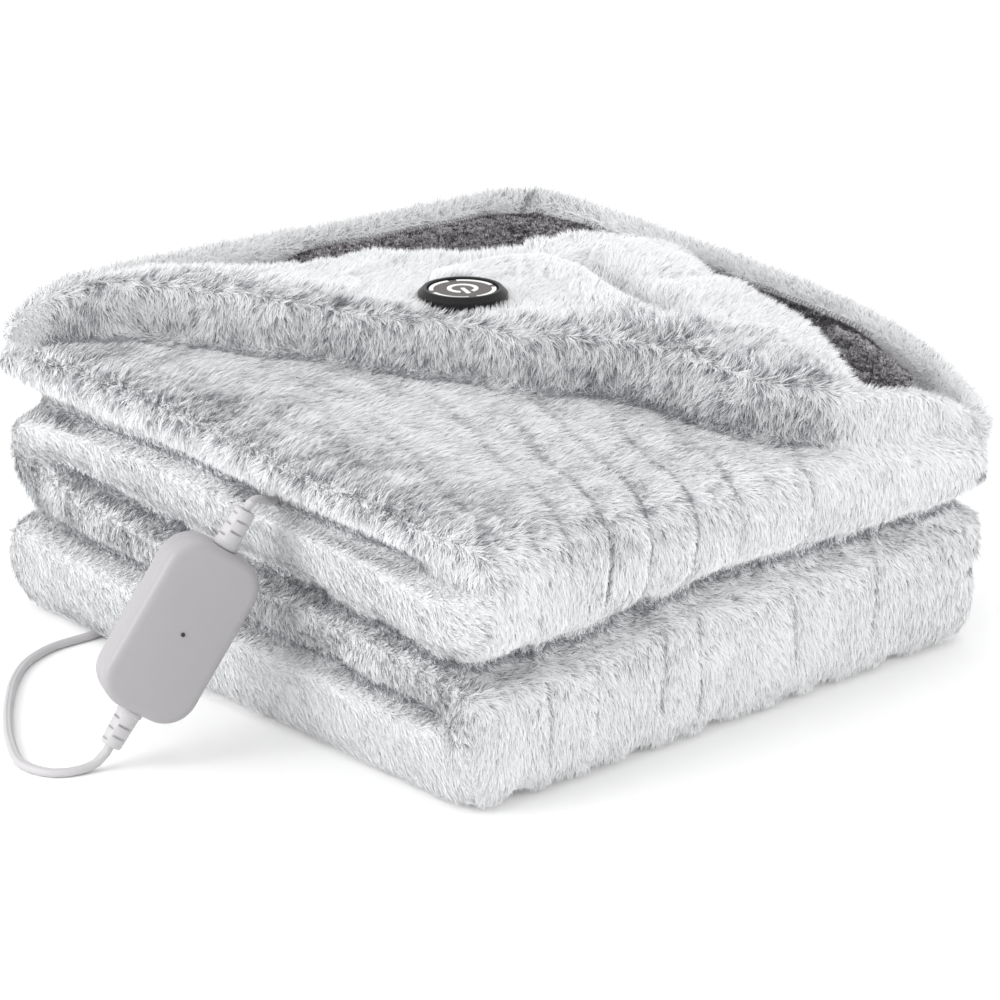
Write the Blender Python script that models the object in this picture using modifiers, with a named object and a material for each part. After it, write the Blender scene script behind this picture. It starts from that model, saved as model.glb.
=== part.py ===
"""Electric heated blanket, folded into a square stack with one corner turned back.

The cloth is a long-pile throw with a short-pile reverse. It lies in four thick layers, folded back and
forth, and its last corner is turned over along the diagonal from the left corner to the right corner.

Everything is worked out in a corner frame, in metres: x runs along the front-right side and y along the
front-left side, both from the near corner, and z runs up from the surface that the blanket lies on. One
empty, the parent of every piece, then brings the middle of the stack to the origin.
"""
import math
from collections import namedtuple

import bmesh
import bpy
import numpy as np
from mathutils import Matrix, Vector

# ---------------------------------------------------------------- driving sizes (metres)
SIDE = 0.400                    # side of the square stack
RIGHT_SIDE = 0.388              # x of the layers' right-hand sides
MIDDLE = (0.1958, 0.2012)       # corner frame's point that becomes the origin
PIECE_GAP = 0.0003              # gap between pieces that touch
LAYER_GAP = 0.0030              # open crease between neighbouring layers
CHANNEL_PITCH = 0.0285          # spacing of the stitched channels across the fold
CHANNEL_DEPTH = 0.0032          # how far a stitch line draws the cloth in
CHANNEL_UNEVEN = 0.35           # share of that depth which differs from channel to channel
SIDE_BULGE = 0.0035             # how far the layers' sides wander in and out

# Height of each layer's top at the stack's four corners.
Corners = namedtuple("Corners", "near left right back")
LAYER_TOPS = (
    Corners(near=0.000, left=0.000, right=0.000, back=0.000),
    Corners(near=0.043, left=0.060, right=0.045, back=0.050),
    Corners(near=0.077, left=0.097, right=0.087, back=0.090),
    Corners(near=0.126, left=0.132, right=0.101, back=0.128),
    Corners(near=0.153, left=0.168, right=0.140, back=0.163),
)
# The top sinks towards the right corner: by how much, and from how far away.
CORNER_DROP = 0.030
CORNER_DROP_REACH = 0.100

# Waves in each layer's top: height, lengths along x and y, and phase (turns).
Wave = namedtuple("Wave", "height length_x length_y phase")
LAYER_WAVES = (
    Wave(height=0.0000, length_x=1.00, length_y=1.00, phase=0.00),
    Wave(height=0.0034, length_x=0.23, length_y=0.15, phase=0.10),
    Wave(height=0.0030, length_x=0.27, length_y=0.19, phase=0.45),
    Wave(height=0.0026, length_x=0.31, length_y=0.17, phase=0.80),
    Wave(height=0.0022, length_x=0.37, length_y=0.23, phase=0.30),
)

# Where the cloth turns from one layer into the next: y of the crease's closed end and of the fold's outside.
# The fullness is 1 for a half round, and less for a squarer fold.
Turn = namedtuple("Turn", "below crease outside fullness")
TURNS = (
    Turn(below=1, crease=0.022, outside=-0.010, fullness=0.60),
    Turn(below=2, crease=0.368, outside=0.414, fullness=0.80),
    Turn(below=3, crease=0.018, outside=-0.016, fullness=0.75),
)
FOLD_TAPER = 0.18               # a fold stands out by this share less at its right-hand end
TURN_ANGLES = (-90, -60, -30, 0, 30, 60, 90)
ROLL_FULLNESS = 0.80
LAYER_STATIONS = (0.070, 0.135, 0.200, 0.265, 0.330)

# Rounding of free edges: distance in from the edge, and the share of the thickness left there.
Rounding = namedtuple("Rounding", "inset share")
SIDE_ROUNDING = (Rounding(0.000, 0.50), Rounding(0.004, 0.78), Rounding(0.012, 0.95))
END_ROUNDING = (Rounding(0.000, 0.45), Rounding(0.006, 0.80), Rounding(0.020, 1.00))
FREE_ENDS = (0.418, 0.409)      # y of the first and the fourth layer's free edge

# ---------------------------------------------------------------- turned-back corner
# It is worked out along the stack's diagonal: across runs from the left corner (-) to the right corner
# (+), and deep runs from the near corner (-) to the back corner (+), both from the stack's middle.
FLAP_SINK = 0.006               # how far the lower ply merges into the fourth layer
FLAP_PLY = 0.018                # height of the lower ply's reverse over the fourth layer
FLAP_SLIT = 0.004               # space between the plies, which holds the reverse
FLAP_ROLL = 0.018               # how far the rolled front stands out from its centre
ROLL_SINK = 0.001               # and how far its lower half merges into the fourth layer
ROLL_SET_BACK = 0.012           # the roll's centre lies this far behind the line where it meets the layer
LEAST_UPPER_PLY = 0.006         # the upper ply reaches at least this far behind the roll's centre
UPPER_PLY_CLEAR = 0.004         # and stays this far short of the lower ply's hem
HEM_WIDTH = 0.022               # square to the hem
HEM_SHARE_OF_ROOM = 0.75        # and no more of the way to the roll than this, near the two ends
HEM_LEFT_SWELL = 0.003          # the hem stands out this much further at the left corner
SWELL_SPAN = (0.18, 0.24)       # from this far left of the middle to this far
HEM_REACH = 0.289               # the hem's outside, deep + |across|
HEM_BACK = 0.273                # the rounded back corner
BACK_HEM_RISE = 0.0015          # thicker band along the upper ply's free edge

# front: where the roll meets the fourth layer; back: the upper ply's free edge; height: of the roll.
Flap = namedtuple("Flap", "across front back height")
FLAP_TABLE = (
    Flap(across=-0.280, front=-0.020, back=-0.002, height=0.006),
    Flap(across=-0.268, front=-0.012, back=0.008, height=0.018),
    Flap(across=-0.252, front=-0.001, back=0.022, height=0.027),
    Flap(across=-0.229, front=0.009, back=0.036, height=0.033),
    Flap(across=-0.200, front=0.015, back=0.048, height=0.035),
    Flap(across=-0.172, front=0.012, back=0.050, height=0.035),
    Flap(across=-0.143, front=0.004, back=0.052, height=0.034),
    Flap(across=-0.113, front=-0.004, back=0.073, height=0.033),
    Flap(across=-0.085, front=-0.010, back=0.094, height=0.033),
    Flap(across=-0.055, front=-0.020, back=0.106, height=0.033),
    Flap(across=-0.025, front=-0.024, back=0.115, height=0.033),
    Flap(across=0.005, front=-0.035, back=0.127, height=0.034),
    Flap(across=0.035, front=-0.037, back=0.147, height=0.035),
    Flap(across=0.060, front=-0.037, back=0.158, height=0.036),
    Flap(across=0.082, front=-0.048, back=0.161, height=0.036),
    Flap(across=0.098, front=-0.058, back=0.140, height=0.036),
    Flap(across=0.112, front=-0.070, back=0.100, height=0.035),
    Flap(across=0.130, front=-0.081, back=0.078, height=0.034),
    Flap(across=0.154, front=-0.091, back=0.056, height=0.033),
    Flap(across=0.172, front=-0.090, back=0.028, height=0.031),
    Flap(across=0.184, front=-0.089, back=-0.016, height=0.029),
    Flap(across=0.195, front=-0.086, back=-0.060, height=0.026),
    Flap(across=0.208, front=-0.078, back=-0.058, height=0.024),
    Flap(across=0.228, front=-0.052, back=-0.034, height=0.023),
    Flap(across=0.248, front=-0.024, back=-0.006, height=0.021),
    Flap(across=0.262, front=-0.009, back=0.010, height=0.018),
    Flap(across=0.273, front=-0.012, back=0.006, height=0.013),
)
FLAP_HEIGHT = 0.034             # usual height of the roll
FLAP_END_SHARES = (0.35, 0.75)  # thickness left at the first two and last two stations

# Across the hem: share of its width in from the outside, its top and its underside over the fourth layer.
HemRow = namedtuple("HemRow", "inset top under")
HEM_ROWS = (
    HemRow(inset=0.00, top=0.011, under=0.005),
    HemRow(inset=0.14, top=0.022, under=-0.003),
    HemRow(inset=0.45, top=0.029, under=-FLAP_SINK),
    HemRow(inset=0.80, top=0.026, under=-FLAP_SINK),
    HemRow(inset=1.00, top=FLAP_PLY, under=-FLAP_SINK),
)
HEM_CREST = 0.45                # inset of the hem's highest row
HEM_HANG = 0.030                # how far the outside of the hem hangs over the left end of the stack
HANG_SPAN = (-0.02, 0.08)       # it starts this far left of the middle and is full this far
HANG_SHARE_ON_TOP = 0.35        # how much of the hang the hem's top follows
PLY_SHARES = (0.33, 0.66)       # the lower ply's rows between the hem and the roll
UPPER_SHARES = (0.30, 0.62)     # the upper ply's rows between the roll and its hem
# The upper ply's free edge: distance in from it, extra height, and share of the thickness.
EdgeRow = namedtuple("EdgeRow", "inset rise share")
UPPER_EDGE = (
    EdgeRow(inset=0.026, rise=BACK_HEM_RISE, share=1.00),
    EdgeRow(inset=0.007, rise=BACK_HEM_RISE, share=0.95),
    EdgeRow(inset=0.000, rise=0.000, share=0.35),
)
UPPER_EDGE_SHARE = 0.8          # those rows take up at most this share of the upper ply
RIPPLE = Wave(height=0.0026, length_x=0.110, length_y=0.170, phase=0.2)
RIPPLE_UNDER = 0.3              # share of the ripple that shows under the upper ply

# ---------------------------------------------------------------- velvet reverse
VELVET_THICKNESS = 0.0014
VELVET_CLEAR = 0.0010           # over the lower ply
VELVET_TUCK = 0.045             # how far it runs on under the upper ply
VELVET_START = 0.009            # least distance behind the roll's centre
VELVET_STOP = 0.002             # distance short of the hem
VELVET_ROWS = (0.0, 0.25, 0.5, 0.75, 1.0)
VELVET_FIRST, VELVET_LAST = -0.171, 0.236

# ---------------------------------------------------------------- push button
BUTTON_PLACE = (0.193, 0.226)
BUTTON_SEAT = 0.1868            # height of the flat seat pressed into the pile
BUTTON_RADIUS = 0.0255
BUTTON_HEIGHT = 0.0085
BUTTON_FACE_RADIUS = 0.0200
BUTTON_FACE_DROP = 0.0012       # the face lies this far below the rim
BUTTON_CROWN = 0.0004           # and rises this far to its middle
BUTTON_BEVEL = 0.0030           # the rim's outer slope
BUTTON_SOFT = 0.0006
BUTTON_FLOOR = 0.0022           # thickness of the rim's floor under the face
SEAT_CLEAR = 0.0006             # space round the button in the pile
SEAT_CUT = 0.0200               # height of the cutter over the seat

# ---------------------------------------------------------------- inline controller
BOX_SIZE = (0.0535, 0.0970, 0.0245)     # width, length, depth
BOX_CENTRE = Vector((-0.0550, 0.1637, 0.0717))
BOX_LONG = Vector((0.516, -0.173, 0.839)).normalized()      # towards the blanket's seam
BOX_FACE = Vector((-0.404, -0.913, 0.060))                  # out of the face
BOX_CORNER = 0.0175             # plan radius of the box's corners
BOX_EDGE = 0.0045               # soft edge round the face
INDICATOR_RADIUS = 0.0011
INDICATOR_HEIGHT = 0.0004
RELIEF_LENGTH = 0.0220
RELIEF_COLLAR = 0.0035
RELIEF_ROOT = 0.0068            # radius at the box
RELIEF_TIP = 0.0046             # radius at the cord
RELIEF_STEP = 0.0008            # the sleeve is this much slimmer than its collar
RELIEF_SOFT = 0.0006            # chamfer on its edges
STRAIGHT_OUT = 0.0040           # a cord leaves its relief straight for this far

# ---------------------------------------------------------------- leads
CORD_WIDTH = 0.0055
CORD_STEP = 0.0120              # spacing of the cord's points
LEAD_WIDTH = 0.0050
LEAD_STEP = 0.0060
LEAD_ARCH = 0.0035              # the short lead's middle rises this far
SEAM_ENTRY = Vector((0.0060, 0.1640, 0.1270))   # where the short lead enters the seam
SEAM_INWARD = Vector((0.012, 0.004, -0.002))    # and how it goes on inside
SEAM_CLEAR = 0.0006             # space round it in the seam
GROOVE_RADIUS = 0.0038          # the dent that the cord makes in the cloth above it
DENT_RUN_OUT = 0.030            # it is cut this far out past the cloth's edges
ENTRY_RUN_OUT = 0.012           # and the lead's hole this far
FLOOR = CORD_WIDTH / 2          # height of a cord's middle when it lies on the surface

# Mains cord from the controller: the loop beside the stack, then under the cloth to the back.
LOOP_ROUTE = (
    (-0.0995, 0.1774, 0.0047), (-0.1090, 0.1786, 0.0030), (-0.1215, 0.1850, FLOOR),
    (-0.1270, 0.2050, FLOOR), (-0.1160, 0.2320, FLOOR), (-0.1000, 0.2590, FLOOR),
    (-0.0830, 0.2830, FLOOR), (-0.0650, 0.3050, FLOOR), (-0.0450, 0.3225, FLOOR),
    (-0.0210, 0.3325, FLOOR),
    (0.0050, 0.3330, FLOOR), (0.0320, 0.3360, FLOOR), (0.0560, 0.3480, FLOOR),
    (0.0760, 0.3680, FLOOR), (0.0900, 0.3920, FLOOR), (0.1040, 0.4170, FLOOR),
    (0.1240, 0.4340, FLOOR), (0.1500, 0.4400, FLOOR),
)
COIL_CENTRE = (0.2000, 0.4690)
COIL_MEAN = 0.0290              # radius of the middle turn
COIL_BUNDLE = (0.0220, 0.0110)  # the bundle of turns: four cords wide and two high
COIL_LIFT = 0.0016              # the tie's strap runs under the bundle
COIL_SOFT = 0.003               # chamfer on the bundle's edges
TIE_STRAP = 0.0011
TIE_WIDTH = 0.0045
TIE_EASE = 0.0004
TAIL_ROUTE = (
    (0.2480, 0.4400, FLOOR), (0.2680, 0.4415, 0.0056), (0.2860, 0.4438, 0.0080),
)

# ---------------------------------------------------------------- plug
PLUG_FRONT = Vector((0.2960, 0.4450, 0.0080))   # where the plug's relief starts
PLUG_HEADING = 7.0              # degrees from +x towards +y
PLUG_RELIEF = 0.0180            # length
PLUG_RELIEF_ROOT = 0.0058       # radius at the plug
PLUG_RELIEF_TIP = 0.0042        # radius at the cord
PLUG_SIZE = (0.0300, 0.0230, 0.0150)            # along the cord, across, high
PLUG_CORNER = 0.0050
PLUG_EDGE = 0.0022
BLADE_SIZE = (0.0160, 0.0015, 0.0063)
BLADE_SPACING = 0.0127

Colour = namedtuple("Colour", "red green blue")
FINISHES = {
    "pale fur": (Colour(0.78, 0.79, 0.81), 0.95, 0.0),
    "dark velvet": (Colour(0.070, 0.066, 0.072), 0.80, 0.0),
    "black rim": (Colour(0.012, 0.012, 0.013), 0.35, 0.0),
    "button face": (Colour(0.060, 0.054, 0.052), 0.55, 0.0),
    "grey plastic": (Colour(0.52, 0.51, 0.52), 0.45, 0.0),
    "pale plastic": (Colour(0.66, 0.65, 0.66), 0.50, 0.0),
    "indicator": (Colour(0.010, 0.010, 0.010), 0.30, 0.0),
    "plated brass": (Colour(0.75, 0.75, 0.72), 0.25, 1.0),
}


# ---------------------------------------------------------------- scene helpers
def clear_scene():
    for item in list(bpy.data.objects):
        bpy.data.objects.remove(item, do_unlink=True)


def new_collection(name):
    group = bpy.data.collections.new(name)
    bpy.context.scene.collection.children.link(group)
    return group


def material(name):
    colour, roughness, metallic = FINISHES[name]
    made = bpy.data.materials.get(name)
    if made is None:
        made = bpy.data.materials.new(name)
        made.use_nodes = True
        shader = made.node_tree.nodes["Principled BSDF"]
        shader.inputs["Base Color"].default_value = (*colour, 1.0)
        shader.inputs["Roughness"].default_value = roughness
        shader.inputs["Metallic"].default_value = metallic
        made.diffuse_color = (*colour, 1.0)
    return made


def place(mesh_object, group, finish, matrix=None):
    """Link an object to its collection and hang it on the corner frame."""
    for owner in list(mesh_object.users_collection):
        owner.objects.unlink(mesh_object)
    group.objects.link(mesh_object)
    if finish:
        mesh_object.data.materials.clear()
        mesh_object.data.materials.append(material(finish))
    mesh_object.parent = CORNER_FRAME
    mesh_object.matrix_parent_inverse = Matrix.Identity(4)
    if matrix is not None:
        mesh_object.matrix_basis = matrix
    return mesh_object


def mark_cutter(cutter):
    cutter.hide_render = True
    cutter.display_type = "WIRE"


def add_boolean(target, tool, operation):
    step = target.modifiers.new(operation.lower(), "BOOLEAN")
    step.object = tool
    step.operation = operation
    step.solver = "EXACT"


def object_from_bmesh(name, shape):
    data = bpy.data.meshes.new(name)
    bmesh.ops.recalc_face_normals(shape, faces=shape.faces)
    shape.to_mesh(data)
    shape.free()
    return bpy.data.objects.new(name, data)


def sheet_solid(name, first, second):
    """A closed sheet of cloth, lofted between two grids of points that face each other.

    Both grids are arrays of shape (stations, rows, 3). The faces at the grids' borders join them.
    """
    stations, rows, _ = first.shape
    shape = bmesh.new()
    sides = [[[shape.verts.new(point) for point in station] for station in grid] for grid in (first, second)]
    for side in sides:
        for i in range(stations - 1):
            for j in range(rows - 1):
                shape.faces.new((side[i][j], side[i + 1][j], side[i + 1][j + 1], side[i][j + 1]))
    near, far = sides
    for i in range(stations - 1):
        for j in (0, rows - 1):
            shape.faces.new((near[i][j], near[i + 1][j], far[i + 1][j], far[i][j]))
    for j in range(rows - 1):
        for i in (0, stations - 1):
            shape.faces.new((near[i][j], near[i][j + 1], far[i][j + 1], far[i][j]))
    return object_from_bmesh(name, shape)


# ---------------------------------------------------------------- heights
def wave(shape, x, y):
    """A soft uneven wave: its crests bend and fade along y."""
    angle_x = math.tau * (x / shape.length_x + shape.phase)
    angle_y = math.tau * (y / shape.length_y + 2.3 * shape.phase)
    fade = 0.6 + 0.4 * math.cos(angle_y)
    return shape.height * fade * math.sin(angle_x + 1.1 * math.sin(angle_y))


def corner_blend(corners, x, y):
    u = min(max(x / SIDE, 0.0), 1.0)
    v = min(max(y / SIDE, 0.0), 1.0)
    front = corners.near * (1 - u) + corners.right * u
    back = corners.left * (1 - u) + corners.back * u
    return front * (1 - v) + back * v


def corner_drop(x, y):
    """How far the top has sunk near the right corner."""
    away = math.hypot(max(SIDE - x, 0.0), max(y, 0.0))
    return CORNER_DROP * max(1.0 - away / CORNER_DROP_REACH, 0.0) ** 1.5


def top_surface(x, y):
    """The fourth layer's top without its waves, which carries the turned-back corner."""
    return corner_blend(LAYER_TOPS[4], x, y) - corner_drop(x, y)


def layer_top(number, x, y):
    base = top_surface(x, y) if number == 4 else corner_blend(LAYER_TOPS[number], x, y)
    return base + wave(LAYER_WAVES[number], x, y)


# ---------------------------------------------------------------- folded stack
def straight_rib(number, x, y, travelling_back):
    """Both faces of one layer at one place: the face that starts underneath comes first."""
    low = layer_top(number - 1, x, y) + (LAYER_GAP / 2 if number > 1 else 0.0)
    high = layer_top(number, x, y) - (LAYER_GAP / 2 if number < 4 else 0.0)
    return [(y, high), (y, low)] if travelling_back else [(y, low), (y, high)]


def turn_ribs(turn, x):
    """Ribs round one fold, from the layer below it to the layer above it."""
    middle = layer_top(turn.below, x, turn.crease)
    low = layer_top(turn.below - 1, x, turn.crease) + (LAYER_GAP / 2 if turn.below > 1 else 0.0)
    top = layer_top(turn.below + 1, x, turn.crease) - (LAYER_GAP / 2 if turn.below < 3 else 0.0)
    reach = (turn.outside - turn.crease) * (1.0 - FOLD_TAPER * x / SIDE)
    ribs = []
    for degrees in TURN_ANGLES:
        angle = math.radians(degrees)
        out = max(math.cos(angle), 0.0) ** turn.fullness
        rise = math.copysign(abs(math.sin(angle)) ** turn.fullness, angle)
        half = top - middle if rise > 0 else middle - low
        outer = (turn.crease + reach * out, middle + half * rise)
        inner = (turn.crease + math.copysign(LAYER_GAP / 2, reach) * math.cos(angle),
                 middle + LAYER_GAP / 2 * rise)
        ribs.append([outer, inner] if reach < 0 else [inner, outer])
    return ribs


def stack_section(x):
    """One back-and-forth section of the four layers, as pairs of facing points (y, z)."""
    ribs = []
    inward = list(reversed(LAYER_STATIONS))
    outward = list(LAYER_STATIONS)
    for edge in END_ROUNDING:
        ribs.append(shrink(straight_rib(1, x, FREE_ENDS[0] - edge.inset, False), edge.share))
    ribs += [straight_rib(1, x, y, False) for y in inward]
    ribs += turn_ribs(TURNS[0], x)
    ribs += [straight_rib(2, x, y, True) for y in outward]
    ribs += turn_ribs(TURNS[1], x)
    ribs += [straight_rib(3, x, y, False) for y in inward]
    ribs += turn_ribs(TURNS[2], x)
    ribs += [straight_rib(4, x, y, True) for y in outward]
    for edge in reversed(END_ROUNDING):
        ribs.append(shrink(straight_rib(4, x, FREE_ENDS[1] - edge.inset, True), edge.share))
    return ribs


def shrink(pair, share):
    first, second = np.array(pair[0]), np.array(pair[1])
    middle = (first + second) / 2
    return [tuple(middle + (first - middle) * share), tuple(middle + (second - middle) * share)]


def stack_stations():
    """Stations across the stack: (x, share of the thickness, depth of the stitched channel)."""
    channels = round((RIGHT_SIDE - 2 * SIDE_ROUNDING[-1].inset) / CHANNEL_PITCH)
    first = SIDE_ROUNDING[-1].inset
    pitch = (RIGHT_SIDE - 2 * first) / channels
    stations = [(edge.inset, edge.share, 0.0) for edge in SIDE_ROUNDING]
    for number in range(channels):
        crest = first + (number + 0.5) * pitch
        stations.append((crest, 1.0, 0.0))
        if number < channels - 1:
            strength = 1.0 - CHANNEL_UNEVEN * (1.0 - math.sin(2.6 * number + 0.8))
            stations.append((crest + pitch / 2, 1.0, CHANNEL_DEPTH * strength))
    stations += [(RIGHT_SIDE - edge.inset, edge.share, 0.0) for edge in reversed(SIDE_ROUNDING)]
    return stations


def draw_in(pair, depth, first_outside):
    """Pull one face of a rib towards the other, where a stitch line crosses it."""
    outer, inner = (pair[0], pair[1]) if first_outside else (pair[1], pair[0])
    step = np.array(inner) - np.array(outer)
    moved = tuple(np.array(outer) + step / np.linalg.norm(step) * depth)
    return [moved, inner] if first_outside else [inner, moved]


def folded_stack():
    """The four layers as one sheet, lofted through its sections."""
    rows_flat = len(LAYER_STATIONS)
    rows_turn = len(TURN_ANGLES)
    rows_end = len(END_ROUNDING)
    first_turn = rows_end + rows_flat
    second_turn = first_turn + rows_turn + rows_flat
    third_turn = second_turn + rows_turn + rows_flat
    firsts, seconds = [], []
    for x, share, depth in stack_stations():
        ribs = stack_section(x)
        for j, rib in enumerate(ribs):
            near_fold = first_turn < j < first_turn + rows_turn - 1
            far_fold = second_turn < j < second_turn + rows_turn - 1
            upper_fold_and_top = j > third_turn
            if near_fold or upper_fold_and_top:
                rib = draw_in(rib, depth, True)
            elif far_fold:
                rib = draw_in(rib, depth, False)
            ribs[j] = shrink(rib, share)
        outward = -1.0 if x < SIDE / 2 else 1.0
        loose = 1.0 - min(min(x, RIGHT_SIDE - x) / SIDE_ROUNDING[-1].inset, 1.0)
        for grid, side in ((firsts, 0), (seconds, 1)):
            row = []
            for j, rib in enumerate(ribs):
                wander = SIDE_BULGE * math.sin(0.9 * j + 2.0 * outward) * loose
                row.append((x + outward * wander, rib[side][0], rib[side][1]))
            grid.append(row)
    return sheet_solid("fur_blanket", np.array(firsts), np.array(seconds))


# ---------------------------------------------------------------- turned-back corner
def diagonal_point(across, deep, rise):
    """A point of the turned-back corner, with its height over the fourth layer."""
    x = SIDE / 2 + (across + deep) / math.sqrt(2)
    y = SIDE / 2 + (deep - across) / math.sqrt(2)
    return (x, y, top_surface(x, y) + rise)


def ramp(value, start, end):
    """0 before start, 1 after end, and straight between them."""
    return min(max((value - start) / (end - start), 0.0), 1.0)


def hem_outside(across):
    swell = HEM_LEFT_SWELL * ramp(-across, *SWELL_SPAN)
    return min(HEM_REACH - abs(across), HEM_BACK) + swell


def roll_centre(row):
    return row.front + ROLL_SET_BACK


def hem_inside(row):
    room = hem_outside(row.across) - roll_centre(row)
    return hem_outside(row.across) - min(HEM_WIDTH * math.sqrt(2), HEM_SHARE_OF_ROOM * room)


def upper_back(row):
    longest = hem_inside(row) - UPPER_PLY_CLEAR
    return max(min(row.back, longest), roll_centre(row) + LEAST_UPPER_PLY)


def flap_ribs(row):
    """One section across the turned-back corner: hem, lower ply, roll and upper ply.

    Each rib is a pair of points, the pile's side first and the reverse's side second.
    """
    outside, inside = hem_outside(row.across), hem_inside(row)
    centre, back = roll_centre(row), upper_back(row)
    tall = min(row.height / FLAP_HEIGHT, 1.0)
    ribs = []
    leftness = ramp(-row.across, *HANG_SPAN)
    for edge in HEM_ROWS:
        deep = outside + (inside - outside) * edge.inset
        hang = HEM_HANG * leftness * (1.0 - ramp(edge.inset, 0.0, HEM_CREST))
        # The hem stays plump where the roll thins, and meets the lower ply at its inner edge.
        plump = tall if edge is HEM_ROWS[-1] else math.sqrt(tall)
        ribs.append(((deep, edge.under - hang), (deep, edge.top * plump - HANG_SHARE_ON_TOP * hang)))
    for share in PLY_SHARES:
        deep = inside + (centre - inside) * share
        ribs.append(((deep, -FLAP_SINK), (deep, FLAP_PLY * tall)))
    slit_middle = FLAP_PLY * tall + FLAP_SLIT / 2
    for degrees in TURN_ANGLES:
        angle = math.radians(degrees)
        out, rise = math.cos(angle), math.sin(angle)
        half = row.height - slit_middle if rise > 0 else slit_middle + ROLL_SINK
        outer = (centre - FLAP_ROLL * max(out, 0.0) ** ROLL_FULLNESS, slit_middle + half * rise)
        inner = (centre - FLAP_SLIT / 2 * out, slit_middle + FLAP_SLIT / 2 * rise)
        ribs.append((outer, inner))
    edge_room = min(1.0, UPPER_EDGE_SHARE * (back - centre) / UPPER_EDGE[0].inset)
    hem_start = back - UPPER_EDGE[0].inset * edge_room
    under = FLAP_PLY * tall + FLAP_SLIT
    for share in UPPER_SHARES:
        deep = centre + (hem_start - centre) * share
        ribs.append(((deep, row.height), (deep, under)))
    for edge in UPPER_EDGE:
        deep = back - edge.inset * edge_room
        top = row.height + edge.rise
        middle = (top + under) / 2
        half = (top - under) / 2 * edge.share
        ribs.append(((deep, middle + half), (deep, middle - half)))
    return ribs


def turned_corner():
    """The turned-back corner as one sheet, lofted from the left corner to the right corner."""
    firsts, seconds = [], []
    last = len(FLAP_TABLE) - 1
    ripple_from = len(HEM_ROWS) + len(PLY_SHARES) + TURN_ANGLES.index(0)
    for number, row in enumerate(FLAP_TABLE):
        end = min(number, last - number)
        share = FLAP_END_SHARES[end] if end < len(FLAP_END_SHARES) else 1.0
        pile, reverse = [], []
        for j, rib in enumerate(flap_ribs(row)):
            (deep_a, rise_a), (deep_b, rise_b) = shrink(rib, share)
            lift = 0.0
            if j > ripple_from:
                lift = abs(wave(RIPPLE, row.across, deep_a)) * share
            pile.append(diagonal_point(row.across, deep_a, rise_a + lift))
            reverse.append(diagonal_point(row.across, deep_b, rise_b + RIPPLE_UNDER * lift))
        firsts.append(pile)
        seconds.append(reverse)
    return sheet_solid("turned_corner", np.array(firsts), np.array(seconds))


def velvet_reverse():
    """The reverse where the turned-back corner shows it, lying on the lower ply inside the hem."""
    unders, tops = [], []
    for row in FLAP_TABLE:
        if not VELVET_FIRST <= row.across <= VELVET_LAST:
            continue
        start = max(upper_back(row) - VELVET_TUCK, roll_centre(row) + VELVET_START)
        stop = hem_inside(row) - VELVET_STOP
        under, top = [], []
        for share in VELVET_ROWS:
            deep = start + (stop - start) * share
            rise = FLAP_PLY * min(row.height / FLAP_HEIGHT, 1.0) + VELVET_CLEAR
            under.append(diagonal_point(row.across, deep, rise))
            top.append(diagonal_point(row.across, deep, rise + VELVET_THICKNESS))
        unders.append(under)
        tops.append(top)
    return sheet_solid("velvet_reverse", np.array(unders), np.array(tops))


# ---------------------------------------------------------------- turned shapes, boxes and cords
def turned(name, profile, steps=32):
    """Turn a closed profile of (radius, height) points about z, outer side first, top to bottom."""
    data = bpy.data.meshes.new(name)
    shape = bmesh.new()
    ring = [shape.verts.new((radius, 0.0, height)) for radius, height in profile]
    closed = profile[0][0] > 0 and profile[-1][0] > 0
    for start, end in zip(ring, ring[1:] + ring[:1] if closed else ring[1:]):
        shape.edges.new((start, end))
    shape.to_mesh(data)
    shape.free()
    made = bpy.data.objects.new(name, data)
    screw = made.modifiers.new("turn", "SCREW")
    screw.axis = "Z"
    screw.steps = steps
    screw.render_steps = steps
    screw.use_merge_vertices = True
    screw.merge_threshold = 0.00005
    return made


def rounded_outline(width, length, radius, steps):
    points = []
    for side_x, side_y, start in ((1, 1, 0), (-1, 1, 90), (-1, -1, 180), (1, -1, 270)):
        for step in range(steps + 1):
            angle = math.radians(start + 90 * step / steps)
            points.append((side_x * (width / 2 - radius) + radius * math.cos(angle),
                           side_y * (length / 2 - radius) + radius * math.sin(angle)))
    return points


def rounded_box(name, size, radius, edge, steps=4):
    """A box with round corners in plan and a softened edge round its top and bottom."""
    width, length, depth = size
    shape = bmesh.new()
    corners = [shape.verts.new((x, y, -depth / 2)) for x, y in rounded_outline(width, length, radius, steps)]
    face = shape.faces.new(corners)
    grown = bmesh.ops.extrude_face_region(shape, geom=[face])
    lifted = [item for item in grown["geom"] if isinstance(item, bmesh.types.BMVert)]
    bmesh.ops.translate(shape, verts=lifted, vec=(0, 0, depth))
    made = object_from_bmesh(name, shape)
    soften = made.modifiers.new("soft edge", "BEVEL")
    soften.width = edge
    soften.segments = 3
    soften.limit_method = "ANGLE"
    soften.angle_limit = math.radians(50)
    return made


def smooth_route(points, step):
    """Points about one step apart on a Catmull-Rom curve through the route's own points."""
    knots = [Vector(point) for point in points]
    ends = [2 * knots[0] - knots[1]] + knots + [2 * knots[-1] - knots[-2]]
    path = [knots[0]]
    for before, start, end, after in zip(ends, ends[1:], ends[2:], ends[3:]):
        count = max(1, round((end - start).length / step))
        for number in range(1, count + 1):
            t = number / count
            path.append(0.5 * (2 * start + (end - before) * t
                               + (2 * before - 5 * start + 4 * end - after) * t * t
                               + (3 * start - before - 3 * end + after) * t * t * t))
    return path


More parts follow.
